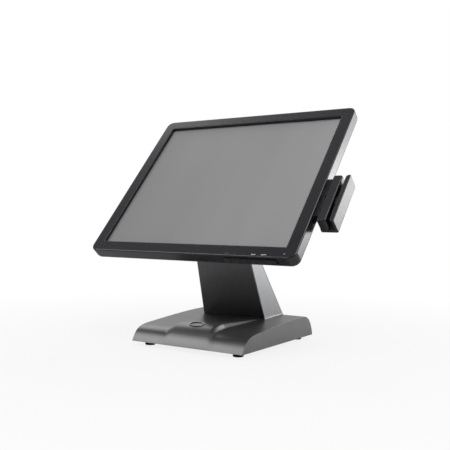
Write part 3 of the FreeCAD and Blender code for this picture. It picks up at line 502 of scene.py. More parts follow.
def gloss_black(name, colour, rough, coat):
    tree = new_material(name)
    cloud = tree.add("ShaderNodeTexNoise", values={"Vector": tree.place, "Scale": 30.0,
                                                   "Detail": 5.0})
    dust = tree.add("ShaderNodeTexNoise", values={"Vector": tree.place, "Scale": 900.0})
    specks = (dust - 0.66) * 6.0
    low = tuple(c * 0.8 for c in colour) + (1.0,)
    high = tuple(c * 1.3 for c in colour) + (1.0,)
    paint = tree.add("ShaderNodeMix", {"data_type": "RGBA"},
                     {"Factor": cloud, "A": low, "B": high}, out="Result")
    bump = tree.add("ShaderNodeBump", values={"Strength": 0.06, "Distance": 0.00005,
                                              "Height": dust})
    body = tree.add("ShaderNodeBsdfPrincipled", values={
        "Base Color": paint, "Roughness": (cloud - 0.5) * 0.12 + specks * 0.02 + rough,
        "Normal": bump, "Coat Weight": coat, "Coat Roughness": 0.15})
    return show(tree, body)


def badge():
    long, wide = 28.0 * mm, 16.5 * mm
    rings = []
    for inset, z in ((0.4, -1.2), (0.0, -0.8), (0.0, 0.25), (0.3, 0.55), (0.9, 0.65), (1.5, 0.5),
                     (1.9, 0.1), (3.0, -0.35), (5.0, -0.6), (7.4, -0.7)):
        rings.append(oval_ring(long - 2 * inset * mm, wide - 2 * inset * mm, z * mm))
    plate = loft("badge_plate", rings)
    plate.data.transform(badge_seat())
    return plate


def badge_rim():
    """Bright pressed ring that holds the badge's edge."""
    rings = [oval_ring(28.0 * mm - 2 * inset * mm, 16.5 * mm - 2 * inset * mm, z * mm)
             for inset, z in ((0.15, 0.3), (0.2, 0.7), (0.5, 0.9), (0.95, 0.85), (1.15, 0.4))]
    ring = loft("badge_rim", rings, closed=True)
    ring.data.transform(badge_seat())
    return ring


dress(badge(), gloss_black("badge_black", (0.008, 0.008, 0.01), 0.30, 0.0), "stand",
      "badge_gloss", "badge")
dress(badge_rim(), brushed("rim_metal", (0.42, 0.42, 0.43), 0.3, 1.0, 2, 0.5), "stand",
      "badge_gloss")


# ---- feet, base plate and grommet --------------------------------------------------------
# Four moulded rubber feet with a ribbed skirt, each held by a sunk screw to the steel plate
# that closes the base. A soft rubber frame lines the cable outlet in the back wall.


def rubber(name, level, rough):
    tree = new_material(name)
    grain = tree.add("ShaderNodeTexNoise", values={"Vector": tree.place, "Scale": 1400.0,
                                                   "Detail": 2.0})
    dust = tree.add("ShaderNodeTexNoise", values={"Vector": tree.place, "Scale": 70.0,
                                                  "Detail": 5.0})
    paint = tree.add("ShaderNodeMix", {"data_type": "RGBA"},
                     {"Factor": dust, "A": grey(level * 0.7), "B": grey(level * 1.5)},
                     out="Result")
    bump = tree.add("ShaderNodeBump", values={"Strength": 0.25, "Distance": 0.00008,
                                              "Height": grain})
    body = tree.add("ShaderNodeBsdfPrincipled", values={
        "Base Color": paint, "Roughness": (dust - 0.5) * 0.2 + rough, "Normal": bump,
        "Specular IOR Level": 0.3})
    return show(tree, body)


def plated_steel(name, level, rough):
    tree = new_material(name)
    spangle = tree.add("ShaderNodeTexNoise", values={"Vector": tree.place, "Scale": 260.0,
                                                     "Detail": 3.0})
    scratch = tree.add("ShaderNodeMapping", values={"Vector": tree.place,
                                                    "Scale": (40.0, 700.0, 700.0)})
    lines = tree.add("ShaderNodeTexNoise", values={"Vector": scratch, "Scale": 1.0})
    tint = tree.add("ShaderNodeMix", {"data_type": "RGBA"},
                    {"Factor": spangle, "A": grey(level * 0.85), "B": grey(level * 1.15)},
                    out="Result")
    bump = tree.add("ShaderNodeBump", values={"Strength": 0.1, "Distance": 0.00005,
                                              "Height": lines})
    body = tree.add("ShaderNodeBsdfPrincipled", values={
        "Base Color": tint, "Roughness": (lines - 0.5) * 0.25 + rough, "Metallic": 1.0,
        "Normal": bump})
    return show(tree, body)


def round_ring(middle, radius, z, count=40, waves=0, depth=0.0):
    ring = []
    for i in range(count):
        turn = 2 * math.pi * i / count
        reach = radius + depth * math.cos(waves * turn)
        ring.append((middle.x + reach * math.cos(turn), middle.y + reach * math.sin(turn), z))
    return ring


def rubber_foot(name, node):
    low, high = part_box(node)
    middle = (low + high) / 2
    high_z = high.z
    rings = []
    steps = ((4.2, 3.5), (4.2, 0.5), (4.8, 0.0), (7.4, 0.0), (8.1, 0.5), (8.3, 1.3), (7.9, 2.2),
             (7.7, 3.6), (8.3, 4.2), (8.9, 4.6), (9.0, 5.2), (9.0, 7.5))
    for radius, z in steps:
        wavy = 1.2 < z < 3.8 and radius > 7
        rings.append(round_ring(middle, radius * mm, z * mm * high_z / (7.5 * mm), 72, 18,
                                0.12 * mm if wavy else 0.0))
    return loft(name, rings)


foot_rubber = rubber("foot_rubber", 0.014, 0.62)
for corner in ("front_left", "front_right", "rear_left", "rear_right"):
    dress(rubber_foot("rubber_" + corner, "foot_" + corner), foot_rubber, "stand",
          "black_rubber", "foot_" + corner)
finish_nodes(rubber("grommet_rubber", 0.02, 0.7), "cable_grommet")
finish_nodes(plated_steel("plated_steel", 0.42, 0.38), "base_plate", "neck_frame")


# ---- neck --------------------------------------------------------------------------------
# Leaning hollow neck in the same brushed gunmetal as the base, its lines running up; its copy is
# drawn darker and more metallic, which is painted shade for the neck under the display. Front and
# sides are one moulding that flares softly where it meets the base and ends in two ears around the
# hinge.

hinge = Vector(joints["display_tilt"]["pos_m"])
neck_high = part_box("neck_cover")[1]
ear_round = neck_high.z - hinge.z
foot_z = 40 * mm
foot_front = base_front + 138.1 * mm
foot_back = base_front + 205.0 * mm
neck_draft = 0.073
ear_gap = 31 * mm
notch_floor = hinge.z - 11 * mm
panel_top = hinge.z - 24 * mm


def neck_half(z):
    return 60.4 * mm - neck_draft * (z - foot_z)


def touch_point(foot_y, side):
    """Where a line from the foot meets the round of the ears, in front (-1) or behind (1)."""
    dy, dz = hinge.y - foot_y, hinge.z - foot_z
    reach = math.hypot(dy, dz)
    angle = math.atan2(dz, dy) - side * math.asin(ear_round / reach)
    run = math.sqrt(reach * reach - ear_round * ear_round)
    return (foot_y + math.cos(angle) * run, foot_z + math.sin(angle) * run)


front_touch = touch_point(foot_front, -1)
back_touch = touch_point(foot_back, 1)


def lean_y(foot_y, touch, z):
    return foot_y + (touch[0] - foot_y) * (z - foot_z) / (touch[1] - foot_z)


def neck_ring(half, front, back, corner, count=7):
    """Rounded rectangle between a front and a back point of the neck, each (y, z)."""
    depth = math.hypot(back[0] - front[0], back[1] - front[1])
    corner = min(corner, depth * 0.45)
    ring = []
    corners = ((1, 0, 0), (1, 1, 90), (-1, 1, 180), (-1, 0, 270))
    for side, end, start in corners:
        across = side * (half - corner)
        along = corner if end == 0 else depth - corner
        for i in range(count):
            turn = math.radians(start - 90 + 90 * i / (count - 1))
            x = across + corner * math.cos(turn)
            run = along + corner * math.sin(turn)
            y = front[0] + (back[0] - front[0]) * run / depth
            z = front[1] + (back[1] - front[1]) * run / depth
            ring.append((stand_x + x, y, z))
    return ring


def neck_solid(name, inset, low_z):
    """The neck as a closed body, drawn in by inset on every side."""
    rings = []
    wide_z = back_touch[1]
    levels = [low_z + (wide_z - low_z) * i / 12 for i in range(13)]
    for z in levels:
        front_z = z + (front_touch[1] - wide_z) * max(0.0, (z - low_z) / (wide_z - low_z))
        front = (lean_y(foot_front, front_touch, front_z) + inset * 1.06, front_z)
        back = (lean_y(foot_back, back_touch, z) - inset * 1.22, z)
        rings.append(neck_ring(neck_half(z) - inset, front, back, 2.6 * mm))
    start = math.atan2(front_touch[1] - hinge.z, front_touch[0] - hinge.y) % (2 * math.pi)
    end = math.atan2(back_touch[1] - hinge.z, back_touch[0] - hinge.y)
    top = math.radians(92)
    radius = ear_round - inset
    for i in range(1, 12):
        part = i / 12
        ahead = start + (top - start) * part
        behind = end + (math.radians(88) - end) * part
        rings.append(neck_ring(
            neck_half(hinge.z + radius * math.sin(behind)) - inset,
            (hinge.y + radius * math.cos(ahead), hinge.z + radius * math.sin(ahead)),
            (hinge.y + radius * math.cos(behind), hinge.z + radius * math.sin(behind)),
            2.6 * mm * (1 - part * 0.9)))
    return loft(name, rings)


def back_slab(name, depth, top_z):
    """Everything behind a plane sunk by depth into the back face of the neck, up to top_z."""
    slope = (back_touch[0] - foot_back) / (back_touch[1] - foot_z)
    sunk = depth * math.hypot(1, slope)
    low_z = 20 * mm
    points = []
    for z in (low_z, top_z):
        y = lean_y(foot_back, back_touch, z) - sunk
        for x in (-80 * mm, 80 * mm):
            points += [(stand_x + x, y, z), (stand_x + x, y + 60 * mm, z + 43 * mm)]
    faces = [(0, 1, 3, 2), (4, 6, 7, 5), (0, 4, 5, 1), (2, 3, 7, 6), (0, 2, 6, 4), (1, 5, 7, 3)]
    return new_piece(name, points, faces)


def base_stopper():
    """The space under the base's top surface, to trim what stands on it."""
    columns = [value for value in base_columns() if abs(value) < 80 * mm]
    count = len(plain_line)
    points, faces = [], []
    for on_top in (True, False):
        for across in columns:
            for (y0, z0), (y1, z1) in zip(plain_line, ridge_line):
                share = ridge_share(across, y0)
                z = z0 + (z1 - z0) * share if on_top else 0.0
                points.append((stand_x + across, y0 + (y1 - y0) * share, z))
    sheet = len(columns) * count
    for i in range(len(columns) - 1):
        for k in range(count - 1):
            near = i * count + k
            faces.append((near, near + 1, near + count + 1, near + count))
            under = near + sheet
            faces.append((under, under + count, under + count + 1, under + 1))
    edge = list(range(count))
    edge += [i * count + count - 1 for i in range(1, len(columns))]
    edge += [(len(columns) - 1) * count + k for k in reversed(range(count - 1))]
    edge += [i * count for i in reversed(range(1, len(columns) - 1))]
    for a, b in zip(edge, edge[1:] + edge[:1]):
        faces.append((a, b, b + sheet, a + sheet))
    return new_piece("stopper", points, faces)


def foot_flare():
    """Soft fillet that carries the neck's front and sides out on to the base."""
    radius = 2.2 * mm
    rings = []
    for i in range(9):
        turn = math.radians(90 * i / 8)
        out = radius * (1 - math.sin(turn))
        rise = radius * (1 - math.cos(turn))
        rings.append((out, rise))
    loops = []
    for out, rise in rings:
        loop = []
        level = foot_z + rise
        front_y = lean_y(foot_front, front_touch, level) - out
        back_y = lean_y(foot_back, back_touch, level) - 3.2 * mm
        half = neck_half(level) + out
        corner = 2.6 * mm + out
        outline = neck_ring(half, (front_y, 0.0), (back_y, 0.0), corner, 9)
        for x, y, z in outline:
            loop.append((x, y, base_height(x - stand_x, y) - 0.05 * mm + rise))
        loops.append(loop)
    inner = [(x + (stand_x - x) * 0.12, y + (foot_back - 30 * mm - y) * 0.12, z)
             for x, y, z in loops[-1]]
    bottom = [(x + (stand_x - x) * 0.2, y + (foot_back - 30 * mm - y) * 0.2, z - 0.1 * mm)
              for x, y, z in loops[0]]
    return loft("neck_flare", [bottom] + loops + [inner], capped=False, closed=True)


def neck_shell():
    shell = neck_solid("neck_shell", 0.0, 34 * mm)
    wall = 2.2 * mm
    hollow = neck_solid("hollow", wall, 20 * mm)
    carve(hollow, block("middle", Vector((stand_x - ear_gap - wall, -1, notch_floor - wall)),
                        Vector((stand_x + ear_gap + wall, 1, 1))))
    carve(shell, hollow)
    carve(shell, block("notch", Vector((stand_x - ear_gap, -1, notch_floor)),
                       Vector((stand_x + ear_gap, 1, 1))))
    carve(shell, back_slab("rear_cut", 2.9 * mm, panel_top))
    carve(shell, base_stopper())
    smooth(shell, 40.0)
    return shell


# Painted shade: the neck's copy of the gunmetal is darker and more metallic than the base's.
shaded_neck_metal = brushed("neck_gunmetal_painted_shade", (0.106, 0.107, 0.110), 0.33, 0.96, 2, 0.8)
dress(neck_shell(), shaded_neck_metal, "stand", "brushed_shell", "neck_cover")
dress(foot_flare(), gunmetal, "stand", "brushed_shell")


# ---- neck rear panel ---------------------------------------------------------------------
# A separate plastic panel closes the back of the neck over the cables. It has a fine moulded
# grain and is held by four small screws.


def grained(name, colour, rough, grain_size=1100.0, strength=0.35):
    tree = new_material(name)
    grain = tree.add("ShaderNodeTexVoronoi", {"feature": "SMOOTH_F1"},
                     {"Vector": tree.place, "Scale": grain_size}, out="Distance")
    cloud = tree.add("ShaderNodeTexNoise", values={"Vector": tree.place, "Scale": 12.0,
                                                   "Detail": 5.0})
    low = tuple(c * 0.8 for c in colour) + (1.0,)
    high = tuple(c * 1.3 for c in colour) + (1.0,)
    paint = tree.add("ShaderNodeMix", {"data_type": "RGBA"},
                     {"Factor": cloud, "A": low, "B": high}, out="Result")
    bump = tree.add("ShaderNodeBump", values={"Strength": strength, "Distance": 0.00012,
                                              "Height": grain})
    body = tree.add("ShaderNodeBsdfPrincipled", values={
        "Base Color": paint, "Roughness": (cloud - 0.5) * 0.12 + rough, "Normal": bump})
    return show(tree, body)


def rear_panel():
    panel = neck_solid("neck_panel", 0.0, 34 * mm)
    keep = back_slab("keep", 2.5 * mm, panel_top - 0.4 * mm)
    carve(panel, keep, "INTERSECT")
    carve(panel, base_stopper())
    soften(panel, 0.6 * mm, 2, 40.0)
    return panel


housing_black = grained("housing_grain", (0.018, 0.018, 0.021), 0.40, 1100.0, 0.18)
dress(rear_panel(), housing_black, "stand", "housing_black", "neck_rear_cover")


# ---- display head ------------------------------------------------------------------------
# The bezel is one black moulding around the window. It is drawn flat here, X to the right,
# Y up the screen and Z out of it, and then laid into the tilted place of the real one.
# The place comes from the panel behind it, whose square faces put its box's middle exactly.

lean = Vector(joints["key_select_press"]["axis"]).normalized()
outward = Vector((1, 0, 0)).cross(lean)
bezel_depth = 16 * mm
head_half = Vector((189 * mm, 158 * mm))
panel_low, panel_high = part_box("lcd_panel")
head_centre = (panel_low + panel_high) / 2 + outward * 15.3 * mm
head = Matrix(((1, lean.x, outward.x, head_centre.x), (0, lean.y, outward.y, head_centre.y),
               (0, lean.z, outward.z, head_centre.z), (0, 0, 0, 1)))
window_half = Vector((169.3 * mm, 138.3 * mm))


def into_place(piece):
    piece.data.transform(head)
    return piece


def frame_ring(half, corner, z, count=9, middle=(0.0, 0.0)):
    """Rounded rectangle at one level, from its half sizes and corner radius."""
    ring = []
    for start, sx, sy in ((0, 1, 1), (90, -1, 1), (180, -1, -1), (270, 1, -1)):
        for i in range(count):
            turn = math.radians(start + 90 * i / (count - 1))
            ring.append((middle[0] + sx * (half[0] - corner) + corner * math.cos(turn),
                         middle[1] + sy * (half[1] - corner) + corner * math.sin(turn), z))
    return ring


def bezel():
    outer, window = head_half, window_half
    corner = 12.0 * mm
    edge = 2.2 * mm
    rings = [frame_ring(outer - Vector((0.2 * mm, 0.2 * mm)), corner - 0.2 * mm, -bezel_depth),
             frame_ring(outer, corner, -bezel_depth + 0.3 * mm)]
    for i in range(7):
        turn = math.radians(90 * i / 6)
        inset = edge * (1 - math.cos(turn))
        rings.append(frame_ring(outer - Vector((inset, inset)), corner - inset,
                                -edge * 0.75 * (1 - math.sin(turn))))
    for inset, z in ((-3.0, -0.02), (-0.9, -0.05), (-0.45, -0.15), (-0.1, -0.5), (0.0, -1.0),
                     (0.25, -5.0)):
        reach = Vector((inset * mm, inset * mm))
        rings.append(frame_ring(window - reach, (1.2 + max(0.0, -inset) * 0.8) * mm, z * mm))
    inner = outer - Vector((2.5 * mm, 2.5 * mm))
    rings += [frame_ring(window + Vector((4 * mm, 4 * mm)), 2 * mm, -5 * mm),
              frame_ring(window + Vector((4 * mm, 4 * mm)), 2 * mm, -2.8 * mm),
              frame_ring(inner, 9.5 * mm, -2.8 * mm), frame_ring(inner, 9.5 * mm, -bezel_depth)]
    return into_place(loft("bezel_frame", rings, closed=True, crease=42.0))


def satin_black(name, colour, rough, coat, grain):
    """Smooth moulded plastic with a soft sheen, faint flow marks and fine dust."""
    tree = new_material(name)
    flow = tree.add("ShaderNodeTexNoise", values={"Vector": tree.place, "Scale": 9.0,
                                                  "Detail": 6.0, "Roughness": 0.6})
    fine = tree.add("ShaderNodeTexNoise", values={"Vector": tree.place, "Scale": grain,
                                                  "Detail": 1.0})
    low = tuple(c * 0.75 for c in colour) + (1.0,)
    high = tuple(c * 1.4 for c in colour) + (1.0,)
    paint = tree.add("ShaderNodeMix", {"data_type": "RGBA"},
                     {"Factor": flow, "A": low, "B": high}, out="Result")
    bump = tree.add("ShaderNodeBump", values={"Strength": 0.08, "Distance": 0.00006,
                                              "Height": fine})
    body = tree.add("ShaderNodeBsdfPrincipled", values={
        "Base Color": paint, "Roughness": (flow - 0.5) * 0.07 + (fine - 0.5) * 0.04 + rough,
        "Normal": bump, "Coat Weight": coat, "Coat Roughness": 0.3})
    return show(tree, body)


bezel_black = satin_black("bezel_satin", (0.006, 0.006, 0.0095), 0.27, 0.0, 1500.0)
dress(bezel(), bezel_black, "display", "bezel_black", "front_bezel")


# ---- touch glass and what lies behind it --------------------------------------------------
# The screen is a sheet of etched glass over the unlit panel, so it looks a matte grey, crossed by
# broad lighter diagonal bands painted into its colour as painted reflections. Foam, panel and
# chassis are stacked behind it and are closed in by the rear cover.


def etched_glass_with_painted_reflections():
    tree = new_material("etched_glass_with_painted_reflections")
    slope = tree.add("ShaderNodeMapping", values={"Vector": tree.place,
                                                  "Rotation": (0.0, math.radians(35), 0.0),
                                                  "Scale": (7.0, 0.4, 0.4)})
    # Painted reflections: broad diagonal bands of lighter grey in the glass's colour.
    painted_reflection_bands = tree.add("ShaderNodeTexNoise", values={"Vector": slope, "Scale": 1.0, "Detail": 1.0})
    smear = tree.add("ShaderNodeTexNoise", values={"Vector": tree.place, "Scale": 16.0,
                                                   "Detail": 5.0})
    fine = tree.add("ShaderNodeTexNoise", values={"Vector": tree.place, "Scale": 2600.0})
    paint = tree.add("ShaderNodeMix", {"data_type": "RGBA"},
                     {"Factor": (painted_reflection_bands - 0.5) * 2.4 + 0.5, "A": grey(0.195), "B": grey(0.285)},
                    out="Result")
    bump = tree.add("ShaderNodeBump", values={"Strength": 0.05, "Distance": 0.00003,
                                              "Height": fine})
    body = tree.add("ShaderNodeBsdfPrincipled", values={
        "Base Color": paint, "Roughness": (smear - 0.5) * 0.16 + 0.62, "Normal": bump,
        "Specular IOR Level": 0.35})
    return show(tree, body)


def board_green():
    tree = new_material("board_green")
    cells = tree.add("ShaderNodeTexBrick", {"offset": 0.5},
                     {"Vector": tree.place, "Scale": 160.0, "Color1": (0.01, 0.09, 0.035, 1),
                      "Color2": (0.015, 0.13, 0.05, 1), "Mortar": (0.25, 0.2, 0.08, 1),
                      "Mortar Size": 0.012}, out="Color")
    fine = tree.add("ShaderNodeTexNoise", values={"Vector": tree.place, "Scale": 400.0})
    body = tree.add("ShaderNodeBsdfPrincipled", values={
        "Base Color": cells, "Roughness": fine * 0.2 + 0.3})
    return show(tree, body)


finish_nodes(etched_glass_with_painted_reflections(), "touch_glass")
finish_nodes(rubber("foam_grey", 0.03, 0.9), "touch_gasket")
finish_nodes(plated_steel("panel_steel", 0.55, 0.35), "panel_chassis", "lcd_panel")
finish_nodes(board_green(), "main_board", "power_board", "touch_board", "key_board",
             "reader_board")


# ---- marks and power light ---------------------------------------------------------------
# Small printed marks above the keys stand in for their names: rows of plain dashes, bold for
# two keys and faint for one, with a minus and a plus between. A clear light guide sits near
# the corner.

key_boxes = [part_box("key_" + key) for key in ("select", "down", "up", "menu", "power")]
key_places = [(low.x + high.x) / 2 - head_centre.x for low, high in key_boxes]
mark_v = -153.9 * mm
mark_z = 0.03 * mm


def bar(across, up, wide, high):
    """One printed stroke on the face of the bezel."""
    x0, x1 = across - wide / 2, across + wide / 2
    y0, y1 = up - high / 2, up + high / 2
    return [(x0, y0, mark_z), (x1, y0, mark_z), (x1, y1, mark_z), (x0, y1, mark_z)]


def dashes(middle, count, high):
    """A row of upright dashes with narrow gaps."""
    return [bar(middle + (i - (count - 1) / 2) * 1.75 * mm, mark_v, 1.2 * mm, high)
            for i in range(count)]


def printed(name, strokes):
    points = [point for stroke in strokes for point in stroke]
    faces = [tuple(range(4 * i, 4 * i + 4)) for i in range(len(strokes))]
    print_ = new_piece(name, points, faces)
    modify(print_, "SOLIDIFY", thickness=0.05 * mm, offset=0.0)
    return into_place(print_)


def print_ink(name, level):
    tree = new_material(name)
    wear = tree.add("ShaderNodeTexNoise", values={"Vector": tree.place, "Scale": 700.0})
    paint = tree.add("ShaderNodeMix", {"data_type": "RGBA"},
                     {"Factor": wear, "A": grey(level * 0.7), "B": grey(level * 1.2)},
                     out="Result")
    body = tree.add("ShaderNodeBsdfPrincipled", values={"Base Color": paint, "Roughness": 0.55})
    return show(tree, body)


minus, plus, stroke = key_places[1], key_places[2], 0.45 * mm
faint_marks = dashes(key_places[0], 4, 1.0 * mm)
faint_marks.append(bar(minus, mark_v, 2.2 * mm, stroke))
faint_marks.append(bar(plus, mark_v, 2.2 * mm, stroke))
faint_marks.append(bar(plus, mark_v + 0.66 * mm, stroke, 0.87 * mm))
faint_marks.append(bar(plus, mark_v - 0.66 * mm, stroke, 0.87 * mm))
bold_marks = dashes(key_places[3] + 2.0 * mm, 4, 1.5 * mm)
bold_marks += dashes(key_places[4] + 4.2 * mm, 5, 1.5 * mm)


def light_guide():
    low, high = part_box("power_light")
    across = (low.x + high.x) / 2 - head_centre.x
    up = -151.0 * mm
    rings = []
    for radius, z in ((1.15, -2.0), (1.15, 0.02), (1.0, 0.14), (0.6, 0.2)):
        rings.append([(across + radius * mm * math.cos(2 * math.pi * i / 24),
                       up + radius * mm * math.sin(2 * math.pi * i / 24), z * mm)
                      for i in range(24)])
    return into_place(loft("light_guide", rings))


dress(printed("faint_marks", faint_marks), print_ink("faint_ink", 0.09), "display", "key_black")
dress(printed("bold_marks", bold_marks), print_ink("bold_ink", 0.55), "display", "key_black")
dress(light_guide(), gloss_black("lens_clear", (0.10, 0.12, 0.2), 0.12, 0.8), "display",
      "light_lens", "power_light")


# ---- keys --------------------------------------------------------------------------------
# Five small keys in a raised strip under the bezel. The strip has a pocket for each key, and
# each key is a dished cap that pushes up on to a switch inside.

strip_low = -160.2 * mm
strip_edge = (72.0 * mm, 158.0 * mm)
strip_depth = (-15.0 * mm, -5.5 * mm)
key_middle_z = -10.5 * mm
key_half = Vector((4.5 * mm, 2.5 * mm))


def key_strip():
    strip = block("strip_under_bezel", (strip_edge[0], strip_low, strip_depth[0]),
                  (strip_edge[1], -158.0 * mm, strip_depth[1]))
    for place in key_places:
        pocket = block("pocket", (place - key_half.x - 0.35 * mm, -170 * mm,
                                  key_middle_z - key_half.y - 0.35 * mm),
                       (place + key_half.x + 0.35 * mm, -150 * mm,
                        key_middle_z + key_half.y + 0.35 * mm))
        carve(strip, pocket)
    soften(strip, 0.3 * mm, 2, 40.0)
    return into_place(strip)


def key_cap(name, place):
    """Cap with rounded rim and a shallow dish, seen from below."""
    rings = []
    for inset, y in ((0.0, -153.4), (0.0, -160.1), (0.15, -160.55), (0.5, -160.78), (0.9, -160.8),
                     (1.3, -160.65), (1.9, -160.5)):
        ring = frame_ring(key_half - Vector((inset * mm, inset * mm)), 0.9 * mm * (1 - inset / 3),
                          0.0, 5)
        rings.append([(place + x, y * mm, key_middle_z + z) for x, z, _ in ring])
    return into_place(loft(name, rings))


key_plastic = satin_black("key_plastic", (0.007, 0.007, 0.009), 0.42, 0.1, 1200.0)
dress(key_strip(), key_plastic, "display", "key_black", "key_strip")
for key, place in zip(("select", "down", "up", "menu", "power"), key_places):
    dress(key_cap("cap_" + key, place), key_plastic, "key_" + key, "key_black", "key_" + key)


# ---- rear cover --------------------------------------------------------------------------
# A grained black moulding that tapers back from the bezel to a flat centre. It has vent
# slots, a bay with holes for the ports and sunk screw seats.

hump_half = Vector((118 * mm, 95 * mm))
hump_z = -49 * mm
knee_z = -20 * mm


def cover_rings(inset):
    rim = head_half - Vector((1 * mm + inset, 1 * mm + inset))
    hump = hump_half - Vector((inset, inset))
    top = hump_z + inset
    rings = [frame_ring(rim, 11 * mm, -bezel_depth)]
    rings.append(frame_ring(rim, 11 * mm, knee_z + 1.2 * mm))
    rings.append(frame_ring(rim - Vector((0.6 * mm, 0.5 * mm)), 11 * mm, knee_z))
    for part in (0.04, 0.96):
        half = rim.lerp(hump, part)
        rings.append(frame_ring(half, (11 + 3 * part) * mm, knee_z + (top - knee_z) * part))
    rings.append(frame_ring(hump - Vector((2.2 * mm, 1.6 * mm)), 13 * mm, top + 0.35 * mm))
    rings.append(frame_ring(hump - Vector((5.0 * mm, 4.4 * mm)), 12 * mm, top))
    return rings


class Plan(Tree):
    """A geometry tree with named inputs for its sizes."""

    def __init__(self, name, sizes):
        self.group = bpy.data.node_groups.new(name, "GeometryNodeTree")
        super().__init__(self.group.nodes, self.group.links)
        face = self.group.interface
        face.new_socket("Geometry", in_out="OUTPUT", socket_type="NodeSocketGeometry")
        face.new_socket("Geometry", in_out="INPUT", socket_type="NodeSocketGeometry")
        for label, kind in sizes.items():
            face.new_socket(label, in_out="INPUT", socket_type="NodeSocket" + kind)
        self.given = self.nodes.new("NodeGroupInput")
        self.end = self.nodes.new("NodeGroupOutput")

    def size(self, label):
        return Wire(self, self.given.outputs[label])

    def run(self, piece, values):
        """Run the tree on a piece with these sizes and keep the result as its mesh."""
        modifier = piece.modifiers.new(self.group.name, "NODES")
        modifier.node_group = self.group
        for item in self.group.interface.items_tree:
            if item.in_out == "INPUT" and item.name in values:
                modifier[item.identifier] = values[item.name]
        return settle(piece)

    def finish(self, shape, material):
        whole = self.add("GeometryNodeRealizeInstances", values={"Geometry": shape})
        done = self.add("GeometryNodeSetMaterial", values={"Geometry": whole,
                                                           "Material": material})
        self.links.new(done.socket, self.end.inputs[0])


def vent_plan(material):
    """Two rows of round-ended slots cut through whatever the tree is run on."""
    plan = Plan("vent_rows", {"Count": "Int", "Pitch": "Float", "Row Pitch": "Float",
                              "Slot Width": "Float", "Slot Length": "Float", "Middle": "Vector"})
    pitch = plan.add("ShaderNodeCombineXYZ", values={"X": plan.size("Pitch")})
    row_step = plan.add("ShaderNodeCombineXYZ", values={"Y": plan.size("Row Pitch")})
    width, length = plan.size("Slot Width"), plan.size("Slot Length")
    stem = plan.add("ShaderNodeCombineXYZ", values={"X": width, "Y": length - width, "Z": 0.02})
    box = plan.add("GeometryNodeMeshCube", values={"Size": stem})
    tip = plan.add("GeometryNodeMeshCylinder", values={"Vertices": 16, "Radius": width * 0.5,
                                                       "Depth": 0.02})
    half = plan.add("ShaderNodeCombineXYZ", values={"Y": (length - width) * 0.5})
    down = plan.add("ShaderNodeVectorMath", {"operation": "SCALE"}, {0: half, "Scale": -1.0})
    ends = [plan.add("GeometryNodeTransform", values={"Geometry": tip, "Translation": move})
            for move in (half, down)]
    slot = plan.add("GeometryNodeMeshBoolean", {"operation": "UNION", "solver": "EXACT"},
                    {1: [box] + ends})
    line = plan.add("GeometryNodeMeshLine", values={"Count": plan.size("Count"),
                                                    "Offset": pitch})
    slots = plan.add("GeometryNodeInstanceOnPoints", values={"Points": line, "Instance": slot})
    rows = plan.add("GeometryNodeMeshLine", values={"Count": 2, "Offset": row_step})
    grid = plan.add("GeometryNodeInstanceOnPoints", values={"Points": rows, "Instance": slots})
    placed = plan.add("GeometryNodeTransform", values={"Geometry": grid,
                                                       "Translation": plan.size("Middle")})
    real = plan.add("GeometryNodeRealizeInstances", values={"Geometry": placed})
    cut = plan.add("GeometryNodeMeshBoolean", {"operation": "DIFFERENCE", "solver": "EXACT"},
                   {0: plan.size("Geometry"), 1: real})
    plan.finish(cut, material)
    return plan


def drum(name, place, radius, length, count=32):
    """Round cutter or post along Z, starting at place."""
    rings = [[(place[0] + radius * math.cos(2 * math.pi * i / count),
               place[1] + radius * math.sin(2 * math.pi * i / count), place[2] + z)
              for i in range(count)] for z in (0.0, length)]
    return loft(name, rings)


def four_corners(half_x, half_y, z):
    return [(sx * half_x, sy * half_y, z) for sx in (-1, 1) for sy in (-1, 1)]


def rear_cover():
    outside = cover_rings(0.0)
    inside = cover_rings(2.5 * mm)
    cover = loft("rear_housing", outside[::-1] + inside, crease=40.0)
    bay_low, bay_high = Vector((-112, -138)) * mm, Vector((-56, -55)) * mm
    bay_floor, wall, deep = -30 * mm, 2.5 * mm, hump_z - 6 * mm
    lining = block("lining", (bay_low.x - wall, bay_low.y - wall, deep),
                   (bay_high.x + wall, bay_high.y + wall, bay_floor + wall))
    carve(lining, loft("trim", outside[::-1]), "INTERSECT")
    carve(cover, lining, "UNION")
    carve(cover, block("bay", (bay_low.x, bay_low.y, deep), (bay_high.x, bay_high.y, bay_floor)))
    for place in four_corners(183.2 * mm, 100 * mm, -34 * mm):
        carve(cover, drum("seat", place, 3.1 * mm, 13.6 * mm, 24))
    for low, high in (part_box(name) for name in ("power_jack", "video_socket", "usb_socket")):
        middle, half = (low.x + high.x) / 2 - head_centre.x, (high.x - low.x) / 2 + 0.2 * mm
        carve(cover, block("port", (middle - half, -56 * mm, -44.2 * mm),
                           (middle + half, -50 * mm, -33.8 * mm)))
    vent_plan(housing_black).run(cover, {
        "Count": 12, "Pitch": 7 * mm, "Row Pitch": 39 * mm, "Slot Width": 2.5 * mm,
        "Slot Length": 26 * mm, "Middle": (-38.5 * mm, 42.5 * mm, hump_z + 2 * mm)})
    soften(cover, 0.5 * mm, 2, 45.0)
    return into_place(cover)


dress(rear_cover(), housing_black, "display", "housing_black", "rear_cover")
finish_nodes(satin_black("port_plastic", (0.02, 0.02, 0.022), 0.5, 0.0, 900.0), "power_jack",
             "video_socket", "usb_socket")


# ---- tilt hinge --------------------------------------------------------------------------
# A dark steel bracket is screwed to the back of the head on a 100 mm square. Its knuckle
# turns with a steel shaft that the washers and nuts clamp in the ears of the neck frame.

hinge_local = head.inverted() @ hinge


